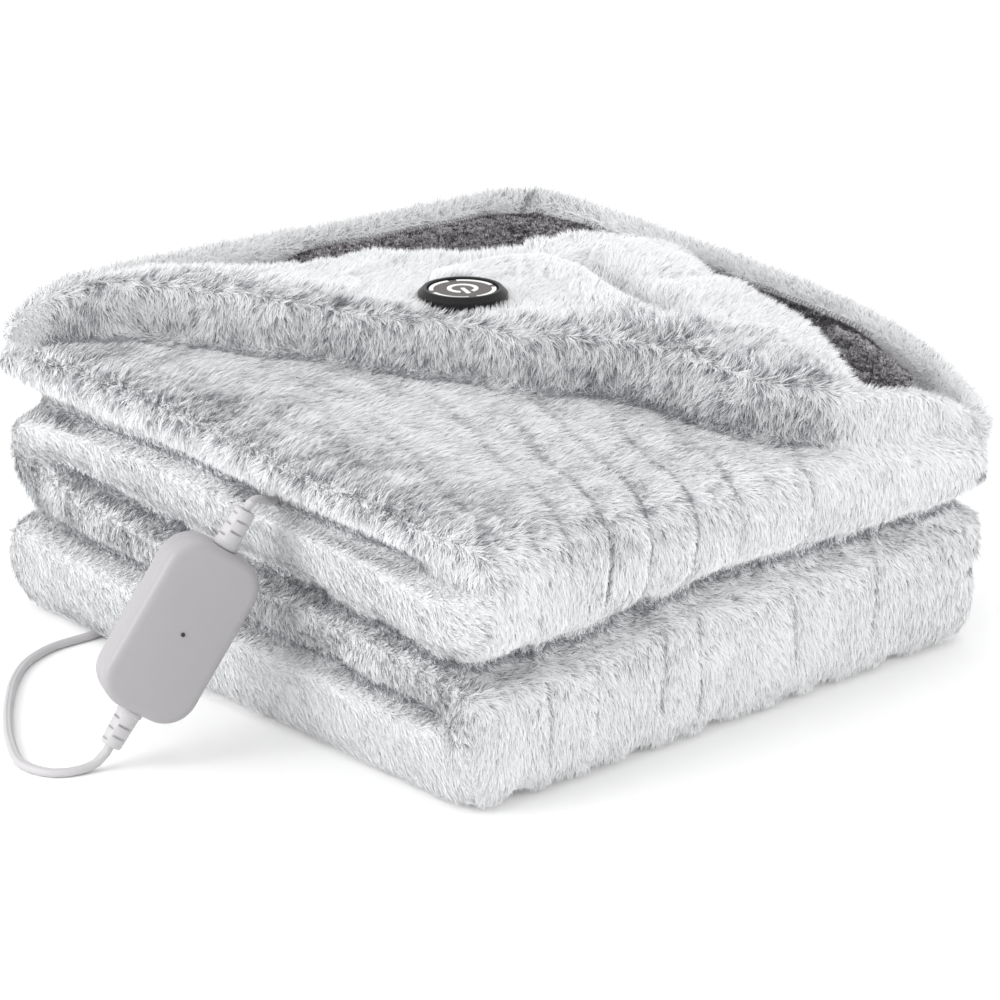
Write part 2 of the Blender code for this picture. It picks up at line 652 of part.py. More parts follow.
def cord_tube(name, path, width, resolution=2):
    data = bpy.data.curves.new(name, "CURVE")
    data.dimensions = "3D"
    data.bevel_depth = width / 2
    data.bevel_resolution = resolution
    data.use_fill_caps = True
    line = data.splines.new("POLY")
    line.points.add(len(path) - 1)
    for point, where in zip(line.points, path):
        point.co = (*where, 1.0)
    return bpy.data.objects.new(name, data)


def mesh_from_curve(curve_object, name, group):
    """A mesh of a curve's tube, welded, for use as a cutter."""
    bpy.context.view_layer.update()
    evaluated = curve_object.evaluated_get(bpy.context.evaluated_depsgraph_get())
    data = bpy.data.meshes.new_from_object(evaluated)
    shape = bmesh.new()
    shape.from_mesh(data)
    bmesh.ops.remove_doubles(shape, verts=shape.verts, dist=0.00001)
    bmesh.ops.recalc_face_normals(shape, faces=shape.faces)
    shape.to_mesh(data)
    shape.free()
    made = bpy.data.objects.new(name, data)
    bpy.data.objects.remove(curve_object, do_unlink=True)
    return place(made, group, None)


def axis_matrix(origin, along, side=Vector((0, 0, 1))):
    """A frame at a point, with its z along one direction and its y as near as can be to another."""
    z_axis = Vector(along).normalized()
    x_axis = side.cross(z_axis).normalized()
    y_axis = z_axis.cross(x_axis)
    turn = Matrix((x_axis, y_axis, z_axis)).transposed().to_4x4()
    return Matrix.Translation(origin) @ turn


# ---------------------------------------------------------------- pieces
def relief_profile():
    """A strain relief from its root at z = 0 to its tip: a collar, then a tapering sleeve."""
    return ((0.0, RELIEF_LENGTH), (RELIEF_TIP - RELIEF_SOFT, RELIEF_LENGTH),
            (RELIEF_TIP, RELIEF_LENGTH - RELIEF_SOFT), (RELIEF_ROOT - RELIEF_STEP, RELIEF_COLLAR),
            (RELIEF_ROOT, RELIEF_COLLAR - RELIEF_SOFT), (RELIEF_ROOT, 0.0), (0.0, 0.0))


def box_matrix():
    width = BOX_LONG.cross(BOX_FACE).normalized()
    face = width.cross(BOX_LONG)
    turn = Matrix((width, BOX_LONG, face)).transposed().to_4x4()
    return Matrix.Translation(BOX_CENTRE) @ turn


def controller(parts):
    frame = box_matrix()
    place(rounded_box("controller_box", BOX_SIZE, BOX_CORNER, BOX_EDGE), parts, "grey plastic", frame)
    half_long = BOX_SIZE[1] / 2
    seat = frame @ Matrix.Translation((0, 0, BOX_SIZE[2] / 2 + PIECE_GAP))
    dot = turned("controller_indicator", ((0.0, INDICATOR_HEIGHT), (INDICATOR_RADIUS, INDICATOR_HEIGHT),
                                          (INDICATOR_RADIUS, 0.0), (0.0, 0.0)), 16)
    place(dot, parts, "indicator", seat)
    ends = {}
    for name, direction in (("relief_to_blanket", 1), ("relief_to_mains", -1)):
        root = BOX_CENTRE + BOX_LONG * direction * (half_long + PIECE_GAP)
        relief = turned(name, relief_profile(), 20)
        place(relief, parts, "pale plastic", axis_matrix(root, BOX_LONG * direction))
        ends[name] = root + BOX_LONG * direction * (RELIEF_LENGTH + PIECE_GAP)
    return ends


def short_lead(parts, start):
    straight = start + BOX_LONG * STRAIGHT_OUT
    crown = (start + SEAM_ENTRY) / 2 + Vector((0, 0, LEAD_ARCH))
    path = smooth_route((start, straight, crown, SEAM_ENTRY, SEAM_ENTRY + SEAM_INWARD), LEAD_STEP)
    place(cord_tube("short_lead", path, LEAD_WIDTH), parts, "pale plastic")
    return path


def coil_tangent():
    """Distance along the cord from the coil's middle at which a straight end clears the bundle."""
    outer = COIL_MEAN + COIL_BUNDLE[0] / 2 + PIECE_GAP
    inner_edge = COIL_MEAN - CORD_WIDTH / 2
    return math.sqrt(outer ** 2 - inner_edge ** 2)


def mains_cord(parts, start):
    clear = coil_tangent()
    line_y = COIL_CENTRE[1] - COIL_MEAN
    start_bend = start - BOX_LONG * STRAIGHT_OUT
    route = (start, start_bend) + LOOP_ROUTE + ((COIL_CENTRE[0] - clear, line_y, FLOOR),)
    path = smooth_route(route, CORD_STEP)
    place(cord_tube("mains_cord", path, CORD_WIDTH), parts, "pale plastic")
    heading = Vector((math.cos(math.radians(PLUG_HEADING)), math.sin(math.radians(PLUG_HEADING)), 0.0))
    tail = ((COIL_CENTRE[0] + clear, line_y, FLOOR),) + TAIL_ROUTE + (PLUG_FRONT - heading * PIECE_GAP,)
    place(cord_tube("cord_tail", smooth_route(tail, CORD_STEP), CORD_WIDTH), parts, "pale plastic")
    return path, heading


def cord_coil(parts):
    wide, high = COIL_BUNDLE
    inner, outer = COIL_MEAN - wide / 2, COIL_MEAN + wide / 2
    soft = COIL_SOFT
    profile = ((outer - soft, high), (outer, high - soft), (outer, soft), (outer - soft, 0.0),
               (inner + soft, 0.0), (inner, soft), (inner, high - soft), (inner + soft, high))
    where = Matrix.Translation((*COIL_CENTRE, COIL_LIFT))
    place(turned("cord_coil", profile, 32), parts, "pale plastic", where)


def coil_tie(parts):
    """A flat strap round the bundle, on the coil's far side."""
    wide, high = COIL_BUNDLE
    clear = 2 * PIECE_GAP
    # The bundle curves a little within the strap's width, so the strap is wider than the bundle by this.
    bow = COIL_MEAN - math.sqrt(COIL_MEAN ** 2 - TIE_WIDTH ** 2 / 4) + TIE_EASE
    hole = (wide + 2 * clear + 2 * bow, high + 2 * clear)
    outer = (hole[0] + 2 * TIE_STRAP, hole[1] + 2 * TIE_STRAP)
    shape = bmesh.new()
    loops = []
    for width, height in (outer, hole):
        points = ((width / 2, height / 2), (-width / 2, height / 2), (-width / 2, -height / 2),
                  (width / 2, -height / 2))
        loops.append([[shape.verts.new((side * TIE_WIDTH / 2, y, z)) for y, z in points] for side in (-1, 1)])
    for k in range(4):
        n = (k + 1) % 4
        for near, far in loops:
            shape.faces.new((near[k], near[n], far[n], far[k]))
        for side in (0, 1):
            shape.faces.new((loops[0][side][k], loops[0][side][n], loops[1][side][n], loops[1][side][k]))
    strap = object_from_bmesh("coil_tie", shape)
    middle = (COIL_CENTRE[0], COIL_CENTRE[1] + COIL_MEAN, COIL_LIFT + high / 2)
    place(strap, parts, "pale plastic", Matrix.Translation(middle))


def plug(parts, heading):
    frame = axis_matrix(PLUG_FRONT, heading)
    relief = turned("plug_relief", ((0.0, PLUG_RELIEF), (PLUG_RELIEF_ROOT, PLUG_RELIEF),
                                    (PLUG_RELIEF_TIP, 0.0), (0.0, 0.0)), 20)
    place(relief, parts, "pale plastic", frame)
    long, across, high = PLUG_SIZE
    body_middle = PLUG_RELIEF + PIECE_GAP + long / 2
    body = rounded_box("plug_body", (across, high, long), PLUG_CORNER, PLUG_EDGE)
    place(body, parts, "pale plastic", frame @ Matrix.Translation((0, 0, body_middle)))
    blade_middle = body_middle + long / 2 + PIECE_GAP + BLADE_SIZE[0] / 2
    for name, side in (("plug_blade_left", -1), ("plug_blade_right", 1)):
        shape = bmesh.new()
        bmesh.ops.create_cube(shape, size=1.0)
        bmesh.ops.scale(shape, vec=(BLADE_SIZE[1], BLADE_SIZE[2], BLADE_SIZE[0]), verts=shape.verts)
        blade = object_from_bmesh(name, shape)
        offset = Matrix.Translation((side * BLADE_SPACING / 2, 0, blade_middle))
        place(blade, parts, "plated brass", frame @ offset)


def button(parts):
    outer, face = BUTTON_RADIUS, BUTTON_FACE_RADIUS
    seat = Matrix.Translation((*BUTTON_PLACE, BUTTON_SEAT + PIECE_GAP))
    floor, soft, bevel = BUTTON_FLOOR, BUTTON_SOFT, BUTTON_BEVEL
    rim = ((outer - bevel, BUTTON_HEIGHT), (outer, BUTTON_HEIGHT - bevel), (outer, 0.0), (0.0, 0.0))
    cup = ((0.0, floor), (face + PIECE_GAP, floor), (face + PIECE_GAP, BUTTON_HEIGHT - soft),
           (face + PIECE_GAP + soft, BUTTON_HEIGHT)) + rim
    place(turned("button_rim", cup, 48), parts, "black rim", seat)
    top = BUTTON_HEIGHT - BUTTON_FACE_DROP
    disc = ((0.0, top + BUTTON_CROWN), (face - soft, top), (face, top - soft),
            (face, floor + PIECE_GAP), (0.0, floor + PIECE_GAP))
    place(turned("button_face", disc, 48), parts, "button face", seat)


def seat_cutter(cutters):
    """The flat seat for the button, pressed into the upper ply."""
    radius = BUTTON_RADIUS + SEAT_CLEAR
    shape = bmesh.new()
    bmesh.ops.create_cone(shape, cap_ends=True, segments=48, radius1=radius, radius2=radius, depth=SEAT_CUT)
    tool = object_from_bmesh("button seat", shape)
    mark_cutter(tool)
    return place(tool, cutters, None, Matrix.Translation((*BUTTON_PLACE, BUTTON_SEAT + SEAT_CUT / 2)))


def dent_cutter(cutters, name, path, radius):
    """A round dent along a cord, where the cloth lies over it or closes round it."""
    tool = mesh_from_curve(cord_tube("guide", path, 2 * radius, 2), name, cutters)
    mark_cutter(tool)
    return tool


def build():
    parts = new_collection("electric heated blanket")
    cutters = new_collection("cutters")
    parts.objects.link(CORNER_FRAME)
    CORNER_FRAME.location = (-MIDDLE[0], -MIDDLE[1], 0.0)

    blanket = place(folded_stack(), parts, "pale fur")
    corner = place(turned_corner(), cutters, None)
    mark_cutter(corner)
    place(velvet_reverse(), parts, "dark velvet")
    button(parts)
    ends = controller(parts)
    lead_path = short_lead(parts, ends["relief_to_blanket"])
    cord_path, heading = mains_cord(parts, ends["relief_to_mains"])
    cord_coil(parts)
    coil_tie(parts)
    plug(parts, heading)

    add_boolean(blanket, corner, "UNION")
    add_boolean(blanket, seat_cutter(cutters), "DIFFERENCE")
    under = [point for point in cord_path if -DENT_RUN_OUT < point.x and point.y < SIDE + DENT_RUN_OUT]
    add_boolean(blanket, dent_cutter(cutters, "cord dent", under, GROOVE_RADIUS), "DIFFERENCE")
    entry = [point for point in lead_path if point.x > -ENTRY_RUN_OUT]
    entry.append(entry[-1] + SEAM_INWARD.normalized() * SEAM_CLEAR)
    seam = dent_cutter(cutters, "seam entry", entry, LEAD_WIDTH / 2 + SEAM_CLEAR)
    add_boolean(blanket, seam, "DIFFERENCE")


clear_scene()
CORNER_FRAME = bpy.data.objects.new("corner_frame", None)
build()
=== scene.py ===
"""Electric heated blanket, folded into a stack with one corner turned back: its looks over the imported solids.

Everything is in metres, in the model's own frame: x runs along the stack's side where the folded edges
show, y along the side where the layers' ends show, both away from the near corner, and z runs up from the
surface that it lies on.
"""
import math
from collections import namedtuple

import bmesh
import bpy
import numpy as np
from mathutils import Matrix, Vector
from mathutils.bvhtree import BVHTree
from mathutils.kdtree import KDTree


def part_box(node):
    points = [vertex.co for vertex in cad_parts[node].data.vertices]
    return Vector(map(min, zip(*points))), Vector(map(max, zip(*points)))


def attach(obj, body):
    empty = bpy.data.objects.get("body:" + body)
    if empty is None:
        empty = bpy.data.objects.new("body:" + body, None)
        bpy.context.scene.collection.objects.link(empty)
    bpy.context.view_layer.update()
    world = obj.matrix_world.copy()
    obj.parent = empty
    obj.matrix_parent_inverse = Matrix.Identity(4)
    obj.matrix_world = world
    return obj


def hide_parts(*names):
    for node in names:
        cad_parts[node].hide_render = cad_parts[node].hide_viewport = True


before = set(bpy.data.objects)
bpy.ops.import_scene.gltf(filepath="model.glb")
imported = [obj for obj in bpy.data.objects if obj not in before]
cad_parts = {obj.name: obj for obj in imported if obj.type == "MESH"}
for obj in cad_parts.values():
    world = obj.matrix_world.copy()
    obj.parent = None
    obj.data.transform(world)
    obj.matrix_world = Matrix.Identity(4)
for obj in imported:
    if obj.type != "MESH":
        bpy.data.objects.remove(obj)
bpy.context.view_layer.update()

SEED = 20241
UP = Vector((0, 0, 1))
WELD = 0.00001

# ---- camera and lights
CAMERA_PLACE = (-1.2417, -1.4222, 0.7284)
CAMERA_TARGET = (0.0032, -0.0002, 0.0740)
CAMERA_LENS = 126.47
SENSOR = 36.0
CAMERA_CLIP = (0.05, 30.0)
FLOOR_SIZE = 8.0
WORLD_STRENGTH = 1.0
LIT_POINT = (0, 0, 0.1)
Light = namedtuple("Light", "name place size power")
LIGHTS = (Light("top", (0.1, 0.5, 1.9), 1.8, 4.0), Light("left", (-1.9, 0.5, 0.9), 1.4, 25.0),
          Light("front", (1.2, -1.8, 0.8), 1.4, 17.0))

# ---- sizes repeated from the part's source
MIDDLE = Vector((0.1958, 0.2012, 0.0))  # the corner frame's point that is the origin here
PIECE_GAP = 0.0003
BUTTON_PLACE = (-0.0028, 0.0248)
BUTTON_RADIUS = 0.0255
BOX_SIZE = (0.0535, 0.0970, 0.0245)     # width, length, depth
BOX_CENTRE = Vector((-0.0550, 0.1637, 0.0717)) - MIDDLE
BOX_LONG = Vector((0.516, -0.173, 0.839)).normalized()
BOX_FACE = Vector((-0.404, -0.913, 0.060))
BOX_CORNER = 0.0175
RELIEF_LENGTH = 0.0220
STRAIGHT_OUT = 0.0040
SEAM_ENTRY = Vector((0.0060, 0.1640, 0.1270)) - MIDDLE
SEAM_INWARD = Vector((0.012, 0.004, -0.002))
LEAD_ARCH = 0.0035
PLUG_FRONT = Vector((0.2960, 0.4450, 0.0080)) - MIDDLE
PLUG_HEADING = math.radians(7.0)
PLUG_RELIEF = 0.0180
PLUG_SIZE = (0.0300, 0.0230, 0.0150)    # length, width, height
BLADE_SIZE = (0.0160, 0.0015, 0.0063)   # length, thickness, height
BLADE_SPACING = 0.0127

# ---- leads
CORD_WIDTH, CORD_THICKNESS = 0.0055, 0.0044
LEAD_WIDTH, LEAD_THICKNESS = 0.0050, 0.0042
LYING = CORD_THICKNESS / 2      # height of a flat lead's middle on the floor
FLOOR = 0.00275                 # the same in the part's source, whose cord is round
CORD_STEP, LEAD_STEP, COIL_STEP = 0.0060, 0.0040, math.radians(9)
# The groove between a lead's two cores: half its width, and how high it is there in shares of the lead.
CORE_GROOVE = ((0.00075, 0.985), (0.00028, 0.90))

# The mains cord from the controller, in the corner frame: the loop, then under the cloth to the back.
LOOP_ROUTE = ((-0.0995, 0.1774, 0.0047), (-0.1090, 0.1786, 0.0030)) + tuple((x, y, FLOOR) for x, y in (
    (-0.1215, 0.1850), (-0.1270, 0.2050), (-0.1160, 0.2320), (-0.1000, 0.2590), (-0.0830, 0.2830),
    (-0.0650, 0.3050), (-0.0450, 0.3225), (-0.0210, 0.3325), (0.0050, 0.3330), (0.0320, 0.3360),
    (0.0560, 0.3480), (0.0760, 0.3680), (0.0900, 0.3920), (0.1040, 0.4170), (0.1240, 0.4340),
    (0.1500, 0.4400), (0.169422, 0.4400),
))
TAIL_ROUTE = ((0.230578, 0.4400, 0.0052), (0.2480, 0.4400, 0.0042), (0.2680, 0.4415, 0.0060),
              (0.2860, 0.4438, 0.0080))
COIL_CENTRE = Vector((0.2000, 0.4690, 0.0)) - MIDDLE
COIL_LIFT, COIL_RISE = 0.0016, 0.0052
COIL_RADII = (0.03725, 0.03175, 0.02625, 0.02075)
COIL_LEVELS = (COIL_LIFT + LYING, COIL_LIFT + LYING + COIL_RISE)
COIL_START = -108.6             # degrees, where the incoming cord touches the outermost turn
COIL_SWEEP = 2557
# From this many degrees on, the cord moves over COIL_STEP_SPAN degrees to this turn and level.
CoilStep = namedtuple("CoilStep", "start turn level")
COIL_STEPS = (
    CoilStep(270, 1, 0), CoilStep(630, 2, 0), CoilStep(990, 3, 0), CoilStep(1280, 3, 1),
    CoilStep(1570, 2, 1), CoilStep(1930, 1, 1), CoilStep(2290, 0, 1),
)
COIL_STEP_SPAN = 60

# A strain relief's sleeve: its rings (radius, height), and pairs of slots, turn about along it.
Sleeve = namedtuple("Sleeve", "rings slot bevel reach heights")
CONTROLLER_SLEEVE = Sleeve(
    ((0.0068, 0.0), (0.0070, 0.0004), (0.0070, 0.0026), (0.0066, 0.0031), (0.0064, 0.0033), (0.0058, 0.0205),
     (0.0055, 0.0215), (0.0048, RELIEF_LENGTH)),
    (0.0080, 0.0034, 0.0013), 0.0006, 0.0061, (0.0062, 0.0094, 0.0126, 0.0158, 0.0190))
PLUG_SLEEVE = Sleeve(
    ((0.0040, 0.0), (0.0043, 0.0005), (0.0056, PLUG_RELIEF - 0.0006), (0.0054, PLUG_RELIEF)),
    (0.0070, 0.0030, 0.0012), 0.0005, 0.0052, (0.0040, 0.0072, 0.0104, 0.0136))


# ---- finishes
VELVET_TINT = (0.60, 0.57, 0.61, 1.0)


class Value:
    """A node's output: adding to it or multiplying it puts a Math node after it."""

    def __init__(self, tree, socket):
        self.tree, self.socket = tree, socket

    def math(self, operation, other):
        node = self.tree.nodes.new("ShaderNodeMath")
        node.operation = operation
        put(self.tree, node.inputs[0], self)
        put(self.tree, node.inputs[1], other)
        return Value(self.tree, node.outputs[0])

    def __add__(self, other):
        return self.math("ADD", other)

    def __mul__(self, other):
        return self.math("MULTIPLY", other)


def put(tree, slot, item):
    """Feed a node's socket with a value or another node's output."""
    if isinstance(item, Value):
        tree.links.new(item.socket, slot)
    else:
        slot.default_value = item


def opaque(colour):
    return colour if isinstance(colour, Value) else (*colour, 1.0)


class Finish:
    """One material: its Principled shader and the nodes that feed it."""

    def __init__(self, name, colour, roughness, **constants):
        self.material = bpy.data.materials.new(name)
        self.material.use_nodes = True
        self.tree = self.material.node_tree
        self.shader = self.tree.nodes["Principled BSDF"]
        self.material.diffuse_color = opaque(colour)
        self.feed("Base Color", opaque(colour))
        self.feed("Roughness", roughness)
        for socket, value in constants.items():
            self.feed(socket.replace("_", " "), value)

    def feed(self, socket, item):
        put(self.tree, self.shader.inputs[socket], item)

    def node(self, kind, settings, inputs, output=0):
        made = self.tree.nodes.new("ShaderNode" + kind)
        for key, value in settings.items():
            setattr(made, key, value)
        for key, item in inputs.items():
            put(self.tree, made.inputs[key], item)
        return Value(self.tree, made.outputs[output])

    def place(self):
        return self.node("TexCoord", {}, {}, "Object")

    def attribute(self, name):
        return self.node("Attribute", {"attribute_name": name}, {}, "Fac")

    def noise(self, where, scale, detail=2.0):
        return self.node("TexNoise", {}, {"Vector": where, "Scale": scale, "Detail": detail}, "Fac")

    def ramp(self, factor, *stops):
        """A colour picked by a factor from colours at places from 0 to 1."""
        picked = self.node("ValToRGB", {}, {0: factor})
        elements = picked.socket.node.color_ramp.elements
        while len(elements) < len(stops):
            elements.new(0.5)
        for element, (place, colour) in zip(elements, stops):
            element.position = place
            element.color = opaque(colour)
        return picked

    def blend(self, factor, first, second, way="MIX"):
        """A colour between two, by a factor."""
        return self.node("Mix", {"data_type": "RGBA", "blend_type": way},
                         {0: factor, 6: opaque(first), 7: opaque(second)}, 2)

    def bump(self, height, distance):
        self.feed("Normal", self.node("Bump", {}, {"Height": height, "Distance": distance, "Strength": 1.0},
                                      "Normal"))

    def strand_map(self):
        """From the strands' own map: how pale each one is, and how far along it a point lies."""
        split = self.node("SeparateXYZ", {}, {0: self.node("UVMap", {"uv_map": "OFBake"}, {})})
        return split, Value(self.tree, split.socket.node.outputs[1])


def grey(level):
    return (level, level, level)


def strand_finish():
    """Pale strands are near white all along, dark ones grey at the root."""
    finish = Finish("strands", grey(0.80), 0.8, Sheen_Weight=0.25, Sheen_Roughness=0.5,
                    Specular_IOR_Level=0.1)
    paleness, along = finish.strand_map()
    # Both ramps darken towards the root: partly the grey of the roots, partly painted shade deep in the pile.
    pale = finish.ramp(along, (0.0, (0.80, 0.81, 0.825)), (0.45, (0.94, 0.945, 0.95)))
    dark = finish.ramp(along, (0.0, (0.07, 0.075, 0.09)), (0.55, (0.24, 0.25, 0.28)),
                       (1.0, (0.50, 0.51, 0.54)))
    finish.feed("Base Color", finish.blend(paleness, dark, pale))
    return finish.material


def undercoat_finish():
    """The dense short hair under the strands: grey and speckled where the pile stands apart, the dark specks
    partly painted shade in the gaps between its tufts.
    """
    finish = Finish("undercoat", grey(0.7), 0.9, Sheen_Weight=0.3, Specular_IOR_Level=0.1)
    where = finish.place()
    fine = finish.noise(where, 1100.0)
    broad = finish.noise(where, 160.0, 3.0)
    speckle = finish.ramp(fine * 0.5 + broad * 0.5, (0.44, grey(1.0)), (0.60, (0.16, 0.165, 0.18)))
    shaded = finish.blend(fine, (0.72, 0.725, 0.735), (0.93, 0.935, 0.94))
    finish.feed("Base Color", finish.blend(finish.attribute("rough"), shaded, speckle, "MULTIPLY"))
    finish.bump(fine, 0.0009)
    return finish.material


def velvet_finish():
    """The velvet's ground: dark, pale where it is brushed up, with a painted highlight along the wave's crest,
    a painted shadow behind it and painted shade towards the right, and darkest at its seam, a painted shade for
    the groove there.
    """
    finish = Finish("dark velvet", (0.030, 0.028, 0.030), 0.9, Sheen_Weight=0.5, Sheen_Roughness=0.25,
                    Sheen_Tint=VELVET_TINT, Specular_IOR_Level=0.0)
    where = finish.place()
    nap = finish.noise(where, 900.0)
    patches = finish.noise(where, 90.0, 4.0)
    deep = finish.blend(nap * 0.5 + patches * 0.5, (0.016, 0.015, 0.017), (0.120, 0.113, 0.121))
    raised = finish.blend(nap * 0.7 + patches * 0.3, (0.260, 0.248, 0.263), (0.960, 0.930, 0.965))
    # The mix between the dark and the pale cloth carries the brushing and the painted highlight and shadow.
    cloth = finish.blend(finish.attribute("brushed_and_painted_light"), deep, raised)
    # Painted shade: near black in the groove at the seam.
    finish.feed("Base Color", finish.blend(finish.attribute("groove"), cloth, grey(0.004)))
    finish.bump(nap, 0.0015)
    return finish.material


def nap_finish():
    """The velvet's short hairs: dark at the root, paler at the tip."""
    finish = Finish("velvet nap", (0.075, 0.070, 0.076), 0.8, Sheen_Weight=0.6, Sheen_Roughness=0.3,
                    Sheen_Tint=VELVET_TINT, Specular_IOR_Level=0.1)
    paleness, along = finish.strand_map()
    pale = finish.blend(along, (0.740, 0.715, 0.745), (0.980, 0.950, 0.985))
    dark = finish.blend(along, (0.020, 0.019, 0.021), (0.120, 0.113, 0.121))
    finish.feed("Base Color", finish.blend(paleness, dark, pale))
    return finish.material


def plastic_finish(name, colour, roughness, **constants):
    """Moulded plastic: faintly uneven in colour and gloss, with a fine spark-eroded grain."""
    uneven = 0.04
    finish = Finish(name, colour, roughness, **constants)
    where = finish.place()
    broad = finish.noise(where, 35.0, 3.0)
    fine = finish.noise(where, 1500.0)
    darker = tuple(level * (1 - uneven) for level in colour)
    lighter = tuple(min(level * (1 + uneven), 1.0) for level in colour)
    finish.feed("Base Color", finish.blend(broad, darker, lighter))
    finish.feed("Roughness", broad * 0.12 + fine * 0.06 + (roughness - 0.09))
    finish.bump(fine, 0.00006)
    return finish.material


def metal_finish():
    """Plated metal, brushed along the blade."""
    finish = Finish("plated blades", (0.75, 0.74, 0.71), 0.25, Metallic=1.0)
    stretched = finish.node("Mapping", {}, {0: finish.place(), "Scale": (40.0, 1400.0, 1400.0)})
    brushed_lines = finish.noise(stretched, 1.0)
    finish.feed("Roughness", brushed_lines * 0.2 + 0.16)
    finish.bump(brushed_lines, 0.00003)
    return finish.material


def thread_finish():
    finish = Finish("overlock thread", (0.40, 0.39, 0.41), 0.7, Sheen_Weight=0.3)
    twist = finish.noise(finish.place(), 1600.0)
    finish.feed("Base Color", finish.blend(twist, (0.10, 0.098, 0.105), (0.36, 0.35, 0.37)))
    finish.bump(twist, 0.0002)
    return finish.material


# ---- mesh helpers
def in_scene(name, data):
    made = bpy.data.objects.new(name, data)
    bpy.context.scene.collection.objects.link(made)
    return made


def deselect_all():
    bpy.ops.object.select_all(action="DESELECT")


def activate(piece):
    deselect_all()
    piece.select_set(True)
    bpy.context.view_layer.objects.active = piece


def start_editing():
    """Edit mode on the active piece, all of it selected."""
    bpy.ops.object.mode_set(mode="EDIT")
    bpy.ops.mesh.select_all(action="SELECT")


def stop_editing():
    bpy.ops.object.mode_set(mode="OBJECT")


def move_vertices(piece, move):
    """Apply a rule to each vertex, in edit mode."""
    shape = bmesh.from_edit_mesh(piece.data)
    for vertex in shape.verts:
        move(vertex)
    bmesh.update_edit_mesh(piece.data)


def mesh_piece(name, verts, faces):
    data = bpy.data.meshes.new(name)
    data.from_pydata([tuple(point) for point in verts], [], [tuple(face) for face in faces])
    data.validate()
    return in_scene(name, data)


def closed_mesh(name, verts, faces, degrees):
    """A piece whose faces all look outwards, smooth up to an angle."""
    piece = mesh_piece(name, verts, faces)
    shape = bmesh.new()
    shape.from_mesh(piece.data)
    bmesh.ops.recalc_face_normals(shape, faces=shape.faces)
    shape.to_mesh(piece.data)
    shape.free()
    smooth(piece, degrees)
    return piece


def tube_points(path, outline):
    """An outline repeated along a path, its own width kept level."""
    points = []
    for number, point in enumerate(path):
        along = (path[min(number + 1, len(path) - 1)] - path[max(number - 1, 0)]).normalized()
        side = along.cross(UP).normalized()
        over = side.cross(along)
        points += [point + side * x + over * y for x, y in outline]
    return points


def tube_faces(first, rings, count):
    """The sides and both ends of a tube whose rings of points start at a first one."""
    faces = []
    for base in range(first, first + (rings - 1) * count, count):
        for k in range(count):
            n = (k + 1) % count
            faces.append((base + k, base + n, base + count + n, base + count + k))
    last = first + (rings - 1) * count
    return faces + [tuple(range(first, first + count)), tuple(reversed(range(last, last + count)))]


def primitive(name, operator, **settings):
    deselect_all()
    operator(**settings)
    piece = bpy.context.active_object
    piece.name = name
    piece.data.name = name
    return piece


def apply_modifiers(piece):
    activate(piece)
    for step in list(piece.modifiers):
        bpy.ops.object.modifier_apply(modifier=step.name)


def smooth(piece, degrees=35):
    activate(piece)
    bpy.ops.object.shade_smooth_by_angle(angle=math.radians(degrees))


def finish_piece(piece, finish, nodes=()):
    piece.data.materials.clear()
    piece.data.materials.append(finish)
    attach(piece, "root")
    if nodes:
        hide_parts(*nodes)
    return piece


def set_piece(piece, matrix, finish, nodes=(), degrees=35):
    """Smooth a piece, bring its place into its mesh so that its object sits at the origin, and finish it."""
    smooth(piece, degrees)
    bpy.context.view_layer.update()
    piece.data.transform(matrix @ piece.matrix_world)
    piece.matrix_world = Matrix.Identity(4)
    piece.data.update()
    return finish_piece(piece, finish, nodes)


def set_attribute(piece, name, values):
    """A value for each vertex, which the piece's finish reads."""
    layer = piece.data.attributes.new(name, "FLOAT", "POINT")
    layer.data.foreach_set("value", values.astype(np.float32))


def node_copy(name, node):
    """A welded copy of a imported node, as a piece of its own."""
    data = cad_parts[node].data.copy()
    shape = bmesh.new()
    shape.from_mesh(data)
    shape.transform(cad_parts[node].matrix_world)
    bmesh.ops.remove_doubles(shape, verts=shape.verts, dist=WELD)
    shape.to_mesh(data)
    shape.free()
    data.name = name
    return in_scene(name, data)


def frame_matrix(origin, *axes):
    return Matrix.Translation(origin) @ Matrix(axes).transposed().to_4x4()


def axis_matrix(origin, along):
    """A frame at a point, with its z along a direction and its y as near as can be to straight up."""
    z_axis = Vector(along).normalized()
    x_axis = UP.cross(z_axis).normalized()
    return frame_matrix(origin, x_axis, z_axis.cross(x_axis), z_axis)


def lathe(name, rings, segments=40):
    """A closed body: a disc, extruded from ring to ring. Each ring is a radius and a height."""
    (radius, height), others = rings[0], rings[1:]
    piece = primitive(name, bpy.ops.mesh.primitive_circle_add, vertices=segments, radius=radius,
                      fill_type="NGON")
    start_editing()
    bpy.ops.transform.translate(value=(0, 0, height))
    for wide, high in others:
        bpy.ops.mesh.extrude_region_move(TRANSFORM_OT_translate={"value": (0, 0, high - height)})
        scale = wide / radius
        bpy.ops.transform.resize(value=(scale, scale, 1.0), center_override=(0, 0, high))
        radius, height = wide, high
    bpy.ops.mesh.select_all(action="SELECT")
    bpy.ops.mesh.normals_make_consistent(inside=False)
    stop_editing()
    return piece


def block(name, size, bevel, place=Matrix.Identity(4), segments=3):
    """A box with all its edges rounded, brought to a place."""
    piece = primitive(name, bpy.ops.mesh.primitive_cube_add, size=1.0)
    start_editing()
    bpy.ops.transform.resize(value=size)
    bpy.ops.mesh.bevel(offset=bevel, segments=segments, affect="EDGES")
    stop_editing()
    piece.data.transform(place)
    return piece


def join(pieces, name):
    deselect_all()
    for piece in pieces:
        piece.select_set(True)
    bpy.context.view_layer.objects.active = pieces[0]
    bpy.ops.object.join()
    pieces[0].name = name
    return pieces[0]


def cut(piece, cutter):
    step = piece.modifiers.new("cut", "BOOLEAN")
    step.object = cutter
    step.operation = "DIFFERENCE"
    step.solver = "EXACT"
    apply_modifiers(piece)
    bpy.data.objects.remove(cutter, do_unlink=True)


